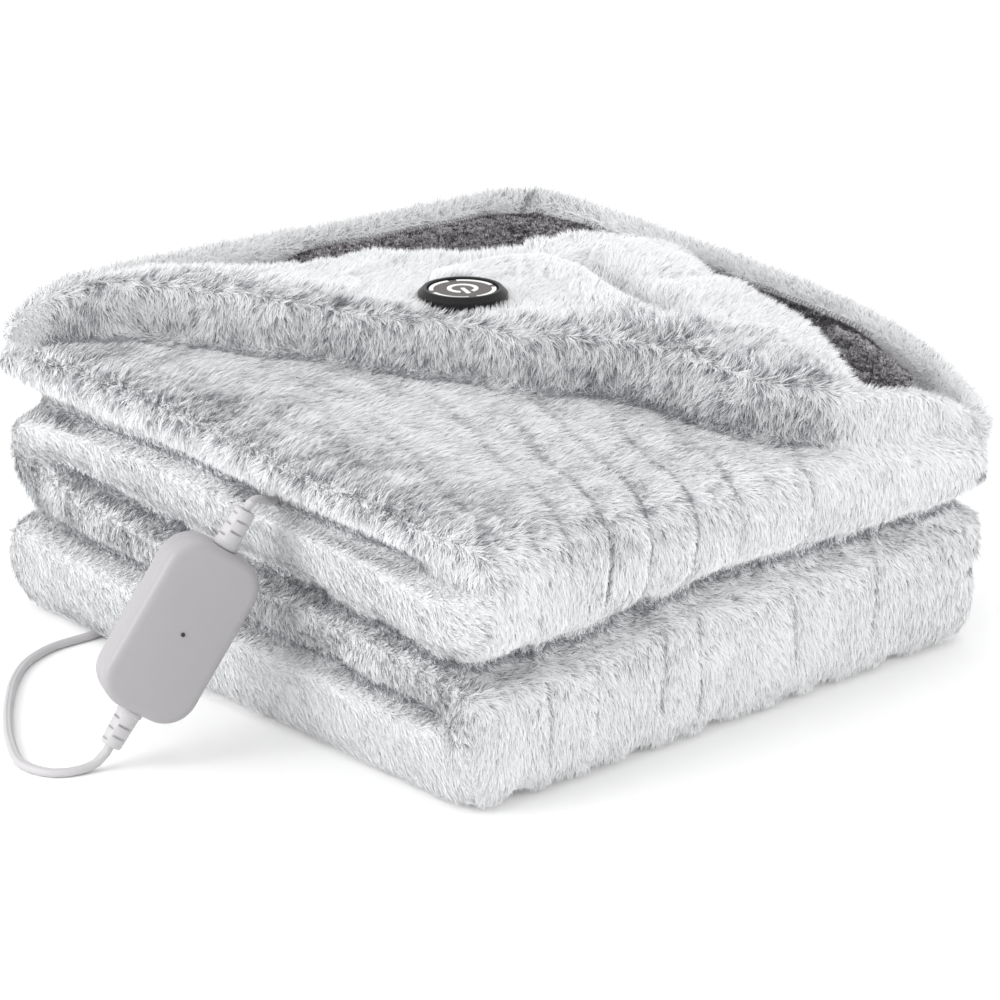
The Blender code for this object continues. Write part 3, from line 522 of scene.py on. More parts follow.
# ---- camera, floor and lights
def aim(thing, place, target):
    """Stand a camera or a lamp at a place, turned towards a target."""
    thing.location = place
    thing.rotation_euler = (Vector(target) - Vector(place)).to_track_quat("-Z", "Y").to_euler()


def camera():
    data = bpy.data.cameras.new("camera")
    data.lens, data.sensor_width = CAMERA_LENS, SENSOR
    data.clip_start, data.clip_end = CAMERA_CLIP
    maker = in_scene("camera", data)
    aim(maker, CAMERA_PLACE, CAMERA_TARGET)
    bpy.context.scene.camera = maker


def studio():
    """A white floor, a white world and three area lamps."""
    bpy.context.scene.view_settings.view_transform = "Standard"
    floor = primitive("studio_floor", bpy.ops.mesh.primitive_plane_add, size=FLOOR_SIZE)
    floor.data.materials.append(Finish("studio floor", grey(0.97), 0.9, Specular_IOR_Level=0.0).material)
    world = bpy.data.worlds.new("studio")
    world.use_nodes = True
    bpy.context.scene.world = world
    back = world.node_tree.nodes["Background"]
    back.inputs["Color"].default_value = opaque(grey(1.0))
    back.inputs["Strength"].default_value = WORLD_STRENGTH
    for light in LIGHTS:
        data = bpy.data.lights.new(light.name, "AREA")
        data.size, data.energy = light.size, light.power
        aim(in_scene(light.name, data), light.place, LIT_POINT)


# ---- making the leads
def smooth_route(points, step):
    """Points about one step apart on a Catmull-Rom curve through the route's own points."""
    knots = [Vector(point) for point in points]
    ends = [2 * knots[0] - knots[1]] + knots + [2 * knots[-1] - knots[-2]]
    path = [knots[0]]
    for before, start, end, after in zip(ends, ends[1:], ends[2:], ends[3:]):
        count = max(1, round((end - start).length / step))
        for number in range(1, count + 1):
            t = number / count
            path.append(0.5 * (2 * start + (end - before) * t
                               + (2 * before - 5 * start + 4 * end - after) * t * t
                               + (3 * start - before - 3 * end + after) * t * t * t))
    return path


def flat_lead(name, path, width, thickness):
    """A flat twin lead along a path: two round cores with a narrow groove between them on both faces."""
    half = thickness / 2
    flat = width / 2 - half
    quarter = [(flat + half * math.cos(math.radians(a)), half * math.sin(math.radians(a)))
               for a in (0, 25, 50, 75)]
    quarter += [(across, half * share) for across, share in CORE_GROOVE]
    upper = quarter + [(-x, y) for x, y in reversed(quarter)]
    outline = upper + [(x, -y) for x, y in reversed(upper[1:-1])]
    return closed_mesh(name, tube_points(path, outline), tube_faces(0, len(path), len(outline)), 40)


def ease(value):
    value = min(max(value, 0.0), 1.0)
    return value * value * (3 - 2 * value)


def coil_path():
    """The coil's turns: round the low level inwards, up, and round the high level outwards."""
    points = []
    for number in range(math.ceil(math.radians(COIL_SWEEP) / COIL_STEP) + 1):
        swept = min(number * math.degrees(COIL_STEP), COIL_SWEEP)
        radius, height = COIL_RADII[0], COIL_LEVELS[0]
        for step in COIL_STEPS:
            share = ease((swept - step.start) / COIL_STEP_SPAN)
            radius += (COIL_RADII[step.turn] - radius) * share
            height += (COIL_LEVELS[step.level] - height) * share
        angle = math.radians(COIL_START + swept)
        points.append(COIL_CENTRE + Vector((radius * math.cos(angle), radius * math.sin(angle), height)))
    return points


def path_length(path):
    return sum((b - a).length for a, b in zip(path, path[1:]))


def relief_ends():
    """Root and end of each of the controller's two reliefs."""
    half = BOX_SIZE[1] / 2 + PIECE_GAP
    ends = {}
    for name, direction in (("relief_to_blanket", 1), ("relief_to_mains", -1)):
        root = BOX_CENTRE + BOX_LONG * direction * half
        ends[name] = (root, root + BOX_LONG * direction * (RELIEF_LENGTH + PIECE_GAP))
    return ends


def plug_heading():
    return Vector((math.cos(PLUG_HEADING), math.sin(PLUG_HEADING), 0.0))


def mains_path(start):
    """From the controller's relief to the plug's."""
    loop = [start, start - BOX_LONG * STRAIGHT_OUT]
    for x, y, z in LOOP_ROUTE:
        loop.append(Vector((x, y, z - FLOOR + LYING)) - MIDDLE)
    tail = [Vector(point) - MIDDLE for point in TAIL_ROUTE] + [PLUG_FRONT - plug_heading() * PIECE_GAP]
    coil = coil_path()
    joined = smooth_route(loop + coil[1:3], CORD_STEP)[:-1]
    away = smooth_route(coil[-3:-1] + tail, CORD_STEP)[1:]
    return joined + coil[2:-2] + away


def leads(finish, plug_pieces):
    """The mains cord and the short lead from the controller to the blanket's seam."""
    ends = relief_ends()
    start = ends["relief_to_mains"][1]
    path = mains_path(start)
    mains = flat_lead("mains_lead", path, CORD_WIDTH, CORD_THICKNESS)
    finish_piece(mains, finish, ("mains_cord", "cord_coil", "cord_tail"))
    path_length(path)
    begin = ends["relief_to_blanket"][1]
    crown = (begin + SEAM_ENTRY) / 2 + UP * LEAD_ARCH
    inside = SEAM_ENTRY + SEAM_INWARD
    route = smooth_route((begin, begin + BOX_LONG * STRAIGHT_OUT, crown, SEAM_ENTRY, inside), LEAD_STEP)
    lead = flat_lead("blanket_lead", route, LEAD_WIDTH, LEAD_THICKNESS)
    finish_piece(lead, finish, ("short_lead",))
    path_length(route)


# ---- controller
Edge = namedtuple("Edge", "side offset steps")
BOX_EDGES = (Edge(1, 0.0052, 6), Edge(-1, 0.0030, 4))   # how the face and the back are rounded
PARTING, PARTING_HALF, PARTING_DEPTH = -0.00105, 0.0003, 0.00035
SLEEVE_EDGE = 0.00015


def slotted_sleeve(name, sleeve):
    """A sleeve with pairs of slots, each pair a quarter turn from the last."""
    body = lathe(name, sleeve.rings)
    cutters = []
    for number, height in enumerate(sleeve.heights):
        turn = Matrix.Rotation(number * math.pi / 2, 4, "Z")
        for side in (-1, 1):
            place = turn @ Matrix.Translation((0, side * sleeve.reach, height))
            cutters.append(block("slot", sleeve.slot, sleeve.bevel, place))
    cut(body, join(cutters, "slots"))
    return body


def relief(name, node, root, end, finish):
    """A strain relief: a collar and a tapering, slotted sleeve with soft edges."""
    sleeve = slotted_sleeve(name, CONTROLLER_SLEEVE)
    step = sleeve.modifiers.new("soft edges", "BEVEL")
    step.width, step.segments, step.limit_method = SLEEVE_EDGE, 2, "ANGLE"
    step.angle_limit = math.radians(40)
    apply_modifiers(sleeve)
    return set_piece(sleeve, axis_matrix(root, end - root), finish, (node,))


def box_matrix():
    width = BOX_LONG.cross(BOX_FACE).normalized()
    return frame_matrix(BOX_CENTRE, width, BOX_LONG, width.cross(BOX_LONG))


def select_edges(data, test):
    """Select the edges that pass a test, in edit mode."""
    bpy.ops.mesh.select_mode(type="EDGE")
    bpy.ops.mesh.select_all(action="DESELECT")
    shape = bmesh.from_edit_mesh(data)
    for edge in shape.edges:
        edge.select_set(test(edge))
    bmesh.update_edit_mesh(data)


def sink_parting(vertex):
    if abs(vertex.co.z - PARTING) < PARTING_HALF / 6:
        vertex.co -= Vector((vertex.co.x, vertex.co.y, 0.0)).normalized() * PARTING_DEPTH


def controller_shell(finish):
    """A moulded box with round corners, a softly rounded face and a parting line half way down its sides."""
    half = BOX_SIZE[2] / 2
    shell = primitive("controller_shell", bpy.ops.mesh.primitive_cube_add, size=1.0)
    start_editing()
    bpy.ops.transform.resize(value=BOX_SIZE)
    select_edges(shell.data, lambda e: abs(e.verts[0].co.z - e.verts[1].co.z) > half)
    bpy.ops.mesh.bevel(offset=BOX_CORNER, segments=10, affect="EDGES")
    for side, offset, steps in BOX_EDGES:
        select_edges(shell.data, lambda e: all(abs(v.co.z - side * half) < WELD for v in e.verts))
        bpy.ops.mesh.bevel(offset=offset, segments=steps, affect="EDGES", profile=0.55)
    for height in (PARTING - PARTING_HALF, PARTING, PARTING + PARTING_HALF):
        bpy.ops.mesh.select_all(action="SELECT")
        bpy.ops.mesh.bisect(plane_co=(0, 0, height), plane_no=(0, 0, 1))
    move_vertices(shell, sink_parting)
    stop_editing()
    set_piece(shell, box_matrix(), finish, ("controller_box",), 30)


# ---- plug and tie
PLUG_ROUNDING = 0.0034
GRIP_GROOVES, GRIP_FIRST, GRIP_PITCH = 5, -0.0050, 0.0028
GRIP_SIZE, GRIP_INSET = (0.0015, 0.0100, 0.0014), 0.0006
BLADE_HOLE, BLADE_HOLE_OUT = 0.0016, 0.0042     # its radius, and how far past the blade's middle it lies
DRILL_HALF, DRIFT = 0.002, 0.02                 # how long the cutters are for that hole and for the strap's
STRAP_WIDTH, STRAP_WALL = 0.0045, 0.0011
LAP_SIZE, LAP_ALONG, LAP_RISE = (0.0043, 0.0120, 0.0012), 0.0015, 0.0004     # the strap's free end


def plug_shell():
    """A moulded body, narrower at the cord's end, with grip grooves in both sides."""
    long, wide, high = PLUG_SIZE
    body = block("plug_shell", (wide, high, long), PLUG_ROUNDING, segments=5)

    def narrow(vertex):
        share = ease((vertex.co.z + long / 2) / long * 1.4)
        vertex.co.x *= 0.80 + 0.20 * share
        vertex.co.y *= 0.84 + 0.16 * share

    start_editing()
    move_vertices(body, narrow)
    stop_editing()
    grooves = []
    for number in range(GRIP_GROOVES):
        for side in (-1, 1):
            place = (side * (wide / 2 - GRIP_INSET), 0, GRIP_FIRST + GRIP_PITCH * number)
            grooves.append(block("groove", GRIP_SIZE, 0.0005, Matrix.Translation(place)))
    cut(body, join(grooves, "grooves"))
    return body


def plug(finish, metal):
    """The plug's relief, body and two blades, lying behind the stack."""
    place = axis_matrix(PLUG_FRONT, plug_heading())
    sleeve = slotted_sleeve("plug_sleeve", PLUG_SLEEVE)
    set_piece(sleeve, place, finish, ("plug_relief",))
    back = PLUG_RELIEF + PIECE_GAP
    body = plug_shell()
    set_piece(body, place @ Matrix.Translation((0, 0, back + PLUG_SIZE[0] / 2)), finish,
              ("plug_body",))
    pieces = [sleeve, body]
    long, thick, high = BLADE_SIZE
    middle = back + PLUG_SIZE[0] + PIECE_GAP + long / 2
    for name, side in (("plug_blade_left", -1), ("plug_blade_right", 1)):
        blade = block(name + "_plated", (thick, high, long), 0.00035)
        hole = lathe("hole", ((BLADE_HOLE, -DRILL_HALF), (BLADE_HOLE, DRILL_HALF)), 24)
        hole.data.transform(Matrix.Translation((0, 0, BLADE_HOLE_OUT)) @ Matrix.Rotation(math.pi / 2, 4, "Y"))
        cut(blade, hole)
        stand = place @ Matrix.Translation((side * BLADE_SPACING / 2, 0, middle))
        pieces.append(set_piece(blade, stand, metal, (name,)))
    return pieces


def coil_tie(finish):
    """A soft strap round the bundle, with its free end laid back over itself."""
    low, high = (Vector(corner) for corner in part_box("coil_tie"))
    size = high - low
    strap = block("coil_strap", (STRAP_WIDTH, size.y, size.z), STRAP_WALL)
    inside = (DRIFT, size.y - 2 * STRAP_WALL, size.z - 2 * STRAP_WALL)
    cut(strap, block("hole", inside, 0.0009))
    place = Matrix.Translation((0.0, LAP_ALONG, size.z / 2 + LAP_RISE))
    tie = join([strap, block("lap", LAP_SIZE, 0.0005, place)], "coil_strap")
    return set_piece(tie, Matrix.Translation((low + high) / 2), finish, ("coil_tie",))


# ---- button
MARK_UP = math.radians(-111.2)  # the power mark's top points this way
FACE_TOP = 0.1944
Arc = namedtuple("Arc", "inner outer start end base top")
RING_MARKS = tuple(Arc(0.0166, 0.0190, 8 + 90 * k, 82 + 90 * k, FACE_TOP - 0.0002, FACE_TOP + 0.0003)
                   for k in range(4))
POWER_MARK = Arc(0.0064, 0.0089, 28, 332, FACE_TOP - 0.0001, FACE_TOP + 0.0006)
BAR = (-0.0008, 0.0104, 0.0025)         # start and end along the mark's axis, and width


def arc_band(arc):
    """A flat band round part of a circle: its cross-section, spun."""
    angle = math.radians(arc.end) + MARK_UP     # the spin turns clockwise

    def to_section(vertex):
        radius = arc.inner if vertex.co.x < 0 else arc.outer
        height = arc.base if vertex.co.y < 0 else arc.top
        vertex.co = (radius * math.cos(angle), radius * math.sin(angle), height)

    piece = primitive("band", bpy.ops.mesh.primitive_plane_add, size=1.0)
    start_editing()
    move_vertices(piece, to_section)
    sweep = arc.end - arc.start
    bpy.ops.mesh.spin(steps=max(8, sweep // 6), angle=math.radians(sweep), center=(0, 0, 0), axis=(0, 0, 1))
    bpy.ops.mesh.select_all(action="SELECT")
    bpy.ops.mesh.remove_doubles(threshold=WELD)
    bpy.ops.mesh.normals_make_consistent(inside=False)
    stop_editing()
    return piece


def button_marks(finish):
    """Four arcs round the face and a power mark in the middle."""
    pieces = [arc_band(arc) for arc in (*RING_MARKS, POWER_MARK)]
    start, end, wide = BAR
    place = Matrix.Translation(((start + end) / 2, 0, FACE_TOP + 0.00025))
    bar = block("bar", (end - start, wide, 0.0007), 0.0002, Matrix.Rotation(MARK_UP, 4, "Z") @ place)
    marks = join(pieces + [bar], "button_marks")
    set_piece(marks, Matrix.Translation((*BUTTON_PLACE, 0.0)), finish)


# ---- sizes of the pile
VOXEL = 0.0045
UNDERCOAT_DEPTH = 0.0030        # the undercoat lies this far inside the cloth's full shape
THIN_SHARE = 0.30               # and no deeper than this share of a thin ply
PROBE_START, PROBE_REACH = 0.0005, 0.03         # the probe for a ply's thickness
FLOOR_BAND, FLOOR_GAP = 0.010, 0.0002
STRANDS = 740000
PIECES = 5
STRAND_LENGTH = 0.0050
ROUGH_LENGTH = 0.0070
HEM_LENGTH = 0.0060
FRINGE_LENGTH = 0.0064          # along the upper ply's free edge
FRINGE = (-0.018, 0.012)        # from that edge to the fringe's middle, and its half width
STRAND_WIDTH = 0.00042
SHOWN_AT = (0.3, 0.6, 0.9)      # how far along a strand its parts lie that may show, past its neighbours
TOP_COMB = np.array((0.64, -0.77, 0.0))
FLAP_COMB = np.array((0.80, 0.25, 0.0))
SIDE_COMB = np.array((0.0, -0.80, -0.42))
HANG = np.array((0.0, 0.0, -1.0))
# How steeply strands stand, in degrees: lying smooth, rough, on the hem, and leaning out over the free edge.
SMOOTH_LIFT, ROUGH_LIFT, HEM_LIFT, FRINGE_LIFT = 15.0, 46.0, 50.0, 34.0
RING_LIFT = 62.0                # round the button, leaning over its rim
CLUMP_SHARE, CLUMP_REACH = 11, 0.005            # strands to a tuft, and how far they are drawn from
OPEN_RAYS, OPEN_START, OPEN_REACH = 14, 0.002, 0.05     # rays that find how open a place is
NO_PILE_BELOW, COVERED_WITHIN = 0.02, 0.012     # none on the underside there, or this close under the velvet
BUTTON_LEVEL = 0.165            # strands rooted below this can't reach the button
BUTTON_CLEAR, RIM_OVERHANG, BOX_CLEAR = 0.0005, 0.0035, 0.001   # how near roots and tips may come

# Height of each layer's top at the near, left, right and back corners of the stack.
LAYER_TOPS = ((0.043, 0.060, 0.045, 0.050), (0.077, 0.097, 0.087, 0.090),
              (0.126, 0.132, 0.101, 0.128), (0.153, 0.168, 0.140, 0.163))
SIDE = 0.400
Wave = namedtuple("Wave", "height length_x length_y phase")
LAYER_WAVES = (Wave(0.0034, 0.23, 0.15, 0.10), Wave(0.0030, 0.27, 0.19, 0.45),
               Wave(0.0026, 0.31, 0.17, 0.80), Wave(0.0022, 0.37, 0.23, 0.30))
# How rough each layer's pile is on the left side: at its foot, and how much more between two shares of its
# height. Then the same on the front fold, where it grows evenly.
SideRough = namedtuple("SideRough", "foot rise start end")
SIDE_ROUGH = (SideRough(0.06, 0.35, 0.72, 0.95), SideRough(0.50, 0.0, 0.0, 1.0),
              SideRough(0.14, 0.0, 0.0, 1.0), SideRough(0.30, 0.55, 0.25, 0.80))
FoldRough = namedtuple("FoldRough", "foot rise")
FOLD_ROUGH = (FoldRough(0.12, 0.0), FoldRough(0.14, 0.34), FoldRough(0.16, 0.0), FoldRough(0.20, 0.40))
# The turned-back corner, in the corner frame's diagonals: where its roll starts and its upper ply ends.
FlapRow = namedtuple("FlapRow", "across front back")
FLAP_ROWS = tuple(FlapRow(*row) for row in (
    (-0.280, -0.020, -0.002), (-0.252, -0.001, 0.022), (-0.229, 0.009, 0.036), (-0.200, 0.015, 0.048),
    (-0.172, 0.012, 0.050), (-0.143, 0.004, 0.052), (-0.113, -0.004, 0.073), (-0.085, -0.010, 0.094),
    (-0.055, -0.020, 0.106), (-0.025, -0.024, 0.115), (0.005, -0.035, 0.127), (0.035, -0.037, 0.147),
    (0.060, -0.037, 0.158), (0.082, -0.048, 0.161), (0.098, -0.058, 0.140), (0.112, -0.070, 0.100),
    (0.130, -0.081, 0.078), (0.154, -0.091, 0.056), (0.172, -0.090, 0.028), (0.184, -0.089, -0.016),
    (0.195, -0.086, -0.060), (0.208, -0.078, -0.058), (0.228, -0.052, -0.034), (0.248, -0.024, -0.006),
    (0.273, -0.012, 0.006),
))
CORNER_DROP, CORNER_REACH = 0.030, 0.100        # the top falls this much within this far of the right corner
# The hem's outer edge on the diagonals, and how wide it is; then the slit at its mitre.
HEM_REACH, HEM_BACK, HEM_DEEP = 0.289, 0.273, 0.0311
MITRE_ACROSS, MITRE_DEEP, MITRE_HALF = (-0.004, 0.004), (0.237, 0.254), 0.0015
SLOPE_SPAN = 0.004              # the free edge's slope is taken over this much to each side

# Stitch lines: x at the front fold, how far back over the top they run, depth, and how high and low they
# reach on the front.
Stitch = namedtuple("Stitch", "front_x back depth high low")
STITCHES = (
    Stitch(-0.1040, 0.150, 0.0034, 0.160, 0.088), Stitch(-0.0745, 0.175, 0.0034, 0.160, 0.086),
    Stitch(-0.0450, 0.120, 0.0030, 0.160, 0.084), Stitch(-0.1800, 0.170, 0.0018, 0.160, 0.110),
    Stitch(-0.1330, 0.210, 0.0012, 0.160, 0.110), Stitch(-0.0150, 0.130, 0.0010, 0.160, 0.100),
    Stitch(0.0420, 0.060, 0.0008, 0.160, 0.085), Stitch(-0.0600, 0.0, 0.0030, 0.076, 0.020),
    Stitch(-0.0360, 0.0, 0.0026, 0.068, 0.010), Stitch(-0.1080, 0.0, 0.0024, 0.070, 0.020),
    Stitch(-0.1420, 0.0, 0.0020, 0.066, 0.020), Stitch(0.0350, 0.0, 0.0016, 0.080, 0.020),
    Stitch(0.1000, 0.0, 0.0014, 0.080, 0.020),
)
DEEPEST_STITCH, TROUGH_REACH, STITCH_LINE = 0.0034, 0.0042, 0.0009
STITCH_SLANT = 0.40             # they drift this much to the right per metre back over the top
FRONT_EDGE = -0.205
CREASE_DEPTH = 0.0030
EDGE_DROP = 0.0050              # the upper ply thins by this much to its free edge

# Soft folds of the upper ply: a line of points, its height, and its half width.
Fold = namedtuple("Fold", "points height reach")
FOLDS = (
    Fold(((0.018, 0.055), (0.052, 0.052), (0.071, 0.040), (0.076, 0.018), (0.061, -0.022), (0.050, -0.058),
          (0.044, -0.091), (0.036, -0.120)), 0.0050, 0.0085),
    Fold(((0.040, 0.100), (0.065, 0.090), (0.090, 0.064), (0.094, 0.040)), 0.0040, 0.0080),
    Fold(((0.096, 0.030), (0.092, 0.010), (0.080, -0.028), (0.078, -0.060)), -0.0085, 0.0105),
    Fold(((0.080, 0.070), (0.060, 0.068), (0.030, 0.075)), -0.0030, 0.0080),
    Fold(((0.090, -0.040), (0.112, -0.044), (0.130, -0.055)), 0.0045, 0.0110),
    Fold(((0.066, -0.076), (0.080, -0.086), (0.100, -0.096)), -0.0035, 0.0080),
    Fold(((0.056, -0.090), (0.078, -0.104), (0.094, -0.118)), 0.0035, 0.0090),
    Fold(((0.118, 0.060), (0.128, 0.030), (0.130, 0.000)), 0.0045, 0.0140),
    Fold(((-0.060, 0.110), (-0.020, 0.100), (0.020, 0.110)), 0.0020, 0.0100),
    Fold(((-0.120, 0.150), (-0.080, 0.120), (-0.050, 0.080)), 0.0020, 0.0120),
)


# ---- arrays
def lattice_noise(points, size, seed):
    """Smooth noise from 0 to 1 at many points: size is the spacing of its lattice."""
    cells = 32
    values = np.random.default_rng(seed).random((cells, cells, cells)).astype(np.float32)
    scaled = points / size + 100.0
    base = np.floor(scaled).astype(np.int64)
    part = (scaled - base).astype(np.float32)
    part = part * part * (3 - 2 * part)
    total = np.zeros(len(points), np.float32)
    for corner in np.ndindex(2, 2, 2):
        weight = np.where(corner, part, 1 - part)
        index = (base + corner) % cells
        total += weight[:, 0] * weight[:, 1] * weight[:, 2] * values[index[:, 0], index[:, 1], index[:, 2]]
    return total


def step_up(values, start, end):
    """0 below the start, 1 above the end, and smooth between."""
    share = np.clip((values - start) / (end - start), 0.0, 1.0)
    return share * share * (3 - 2 * share)


def hump(values, middle, reach):
    return np.exp(-((values - middle) / reach) ** 2)


def mix(first, second, share):
    return first * (1 - share) + second * share


def unit(rows, least=0.0):
    """Each row at length 1; rows shorter than the least are only lengthened by it."""
    return rows / np.maximum(np.linalg.norm(rows, axis=1), least)[:, None]


def in_plane(rows, normals):
    """Each row without its part along the normal."""
    return rows - normals * (rows * normals).sum(axis=1)[:, None]


def turned(first, second, angle):
    """From the first direction towards the second, by an angle."""
    return first * np.cos(angle)[:, None] + second * np.sin(angle)[:, None]


def mesh_arrays(piece):
    """A mesh's points and their normals."""
    arrays = []
    for name in ("co", "normal"):
        values = np.empty(len(piece.data.vertices) * 3, np.float32)
        piece.data.vertices.foreach_get(name, values)
        arrays.append(values.reshape(-1, 3).astype(float))
    return arrays


def surface_tree(piece):
    return BVHTree.FromObject(piece, bpy.context.evaluated_depsgraph_get())


def drop_covered(weight, middles, tree, way, reach):
    """Set the weight to 0 where a surface lies a short way off."""
    for k in np.nonzero(weight > 0)[0]:
        if tree.ray_cast(Vector(middles[k]), Vector(way), reach)[3] is not None:
            weight[k] = 0.0


# ---- places on the stack
def corner_places(points):
    """x and y from the near corner, and the shares of the side that they are."""
    x, y = points[:, 0] + MIDDLE.x, points[:, 1] + MIDDLE.y
    return x, y, np.clip(x / SIDE, 0, 1), np.clip(y / SIDE, 0, 1)


def layer_top(number, u, v):
    """Height of a layer's top at shares of the side, with its slow swell."""
    near, left, right, back = LAYER_TOPS[number - 1]
    wave = LAYER_WAVES[number - 1]
    angle_x = math.tau * (u * SIDE / wave.length_x + wave.phase)
    angle_y = math.tau * (v * SIDE / wave.length_y + 2.3 * wave.phase)
    swell = wave.height * (0.6 + 0.4 * np.cos(angle_y)) * np.sin(angle_x + 1.1 * np.sin(angle_y))
    return (near * (1 - u) + right * u) * (1 - v) + (left * (1 - u) + back * u) * v + swell


def diagonal_places(points):
    """Across and deep: from the middle towards the right corner and towards the back corner."""
    x, y = points[:, 0] + MIDDLE.x - SIDE / 2, points[:, 1] + MIDDLE.y - SIDE / 2
    return (x - y) / math.sqrt(2), (x + y) / math.sqrt(2)


def flap_point(across, deep, height=0.0):
    return Vector((SIDE / 2 + (across + deep) / math.sqrt(2), SIDE / 2 + (deep - across) / math.sqrt(2),
                   height)) - MIDDLE


def along_flap(across, column):
    return np.interp(across, [row.across for row in FLAP_ROWS], [getattr(row, column) for row in FLAP_ROWS])


def past_upper_ply(points):
    """How far outside the upper ply's free edge each point lies."""
    across, deep = diagonal_places(points)
    return deep - along_flap(across, "back")


def behind_roll(points):
    """How far behind the roll's foot each point lies; below zero off the turned-back corner."""
    across, deep = diagonal_places(points)
    _, _, u, v = corner_places(points)
    behind = deep - along_flap(across, "front")
    drop = CORNER_DROP * np.maximum(1 - np.hypot(1 - u, v) * SIDE / CORNER_REACH, 0.0) ** 1.5
    raised = points[:, 2] > layer_top(4, u, v) - drop - 0.004
    return np.where(raised, behind, -1.0)


def edge_directions(points):
    """Straight out from the upper ply's free edge."""
    across, _ = diagonal_places(points)
    rise = along_flap(across + SLOPE_SPAN, "back") - along_flap(across - SLOPE_SPAN, "back")
    slope = rise / (2 * SLOPE_SPAN)
    return unit(np.stack((1 - slope, 1 + slope, np.zeros(len(points))), axis=1))


def inside_hem(points):
    """How far inside the hem's outer edge each point lies."""
    across, deep = diagonal_places(points)
    return np.minimum(HEM_REACH - np.abs(across), HEM_BACK) - deep


def on_hem(points):
    """1 on the hem of the turned-back corner, 0 away from it."""
    inward = inside_hem(points)
    _, _, u, v = corner_places(points)
    high = step_up(points[:, 2] - layer_top(4, u, v), -0.030, -0.015)
    return step_up(-inward, -0.038, -0.028) * high * (inward > -0.025) * (behind_roll(points) > -0.01)


def seam_side(points):
    """1 on the hem's inner face, beside the velvet; less towards the right, where it is smooth."""
    across, _ = diagonal_places(points)
    where = step_up(across, -0.165, -0.125) * (1 - 0.6 * step_up(across, 0.02, 0.06))
    return step_up(inside_hem(points), 0.017, 0.027) * where * on_hem(points)


def mitre(points):
    """1 on the slit where the hem's two sides meet at the back corner."""
    across, deep = diagonal_places(points)
    along = np.clip((deep - MITRE_DEEP[0]) / (MITRE_DEEP[1] - MITRE_DEEP[0]), 0.0, 1.0)
    away = np.hypot(across - MITRE_ACROSS[0] - (MITRE_ACROSS[1] - MITRE_ACROSS[0]) * along,
                    deep - MITRE_DEEP[0] - (MITRE_DEEP[1] - MITRE_DEEP[0]) * along)
    return hump(away, 0.0, MITRE_HALF)


def creases(points):
    """1 on the lines where two layers meet and at the foot of the roll, and the same over a wider band."""
    x, y, u, v = corner_places(points)
    off_corners = step_up(y, 0.020, 0.060) * step_up(-y, -SIDE + 0.010, -SIDE + 0.050)
    ends = np.maximum(step_up(-x, -0.035, -0.025) * off_corners, step_up(x, SIDE - 0.035, SIDE - 0.025))
    line, band = np.zeros(len(points)), np.zeros(len(points))
    for number in (1, 2, 3):
        over = points[:, 2] - layer_top(number, u, v)
        turned_under = y < 0.030 if number == 2 else (y > SIDE - 0.030) * step_up(x, 0.030, 0.070)
        where = np.maximum(ends, turned_under)
        line = np.maximum(line, where * hump(over, -0.0020, 0.0019))
        band = np.maximum(band, where * hump(over, 0.0005, 0.0060))
    behind = behind_roll(points)
    low = points[:, 2] < layer_top(4, u, v) + 0.008
    line = np.maximum(line, low * hump(behind, -0.0055, 0.0018))
    return line, np.maximum(band, hump(behind, -0.0065, 0.0040))


def stitch_troughs(points, normals):
    """Depth of the sewn troughs, and 1 on their stitch lines."""
    wander = (lattice_noise(points, 0.030, SEED + 8) - 0.5) * 0.007
    uneven = 0.55 + 0.75 * lattice_noise(points, 0.045, SEED + 9)
    back = np.maximum(points[:, 1] - FRONT_EDGE, 0.0)
    facing = step_up(np.maximum(normals[:, 2], -normals[:, 1]), 0.30, 0.60)
    off_flap = behind_roll(points) < 0.0
    near_front = 0.45 + 0.55 * step_up(-back, -0.06, -0.015)
    depth, line = np.zeros(len(points)), np.zeros(len(points))
    for stitch in STITCHES:
        away = points[:, 0] + wander - stitch.front_x - STITCH_SLANT * back
        inside = step_up(points[:, 2], stitch.low, stitch.low + 0.010)
        inside *= step_up(-points[:, 2], -stitch.high - 0.006, -stitch.high + 0.002)
        reach = np.where(normals[:, 2] > 0.5, step_up(-back, -stitch.back - 0.02, -stitch.back + 0.03), 1.0)
        strength = inside * reach * facing * off_flap * uneven
        depth = np.maximum(depth, stitch.depth * near_front * strength * hump(away, 0.0, TROUGH_REACH))
        shown = np.minimum(strength, 1.0) * (stitch.depth / DEEPEST_STITCH) ** 0.5
        line = np.maximum(line, shown * (0.35 + 0.65 * near_front) * hump(away, 0.0, STITCH_LINE))
    return depth, line


def fold_heights(points, folds):
    """Total height of soft folds that follow lines of points."""
    total = np.zeros(len(points))
    for fold in folds:
        away = np.full(len(points), 1.0)
        for (x0, y0), (x1, y1) in zip(fold.points, fold.points[1:]):
            run = np.array((x1 - x0, y1 - y0))
            offset = points[:, :2] - (x0, y0)
            share = np.clip(offset @ run / (run @ run), 0.0, 1.0)
            away = np.minimum(away, np.linalg.norm(offset - share[:, None] * run, axis=1))
        total += fold.height * hump(away, 0.0, fold.reach)
    return total


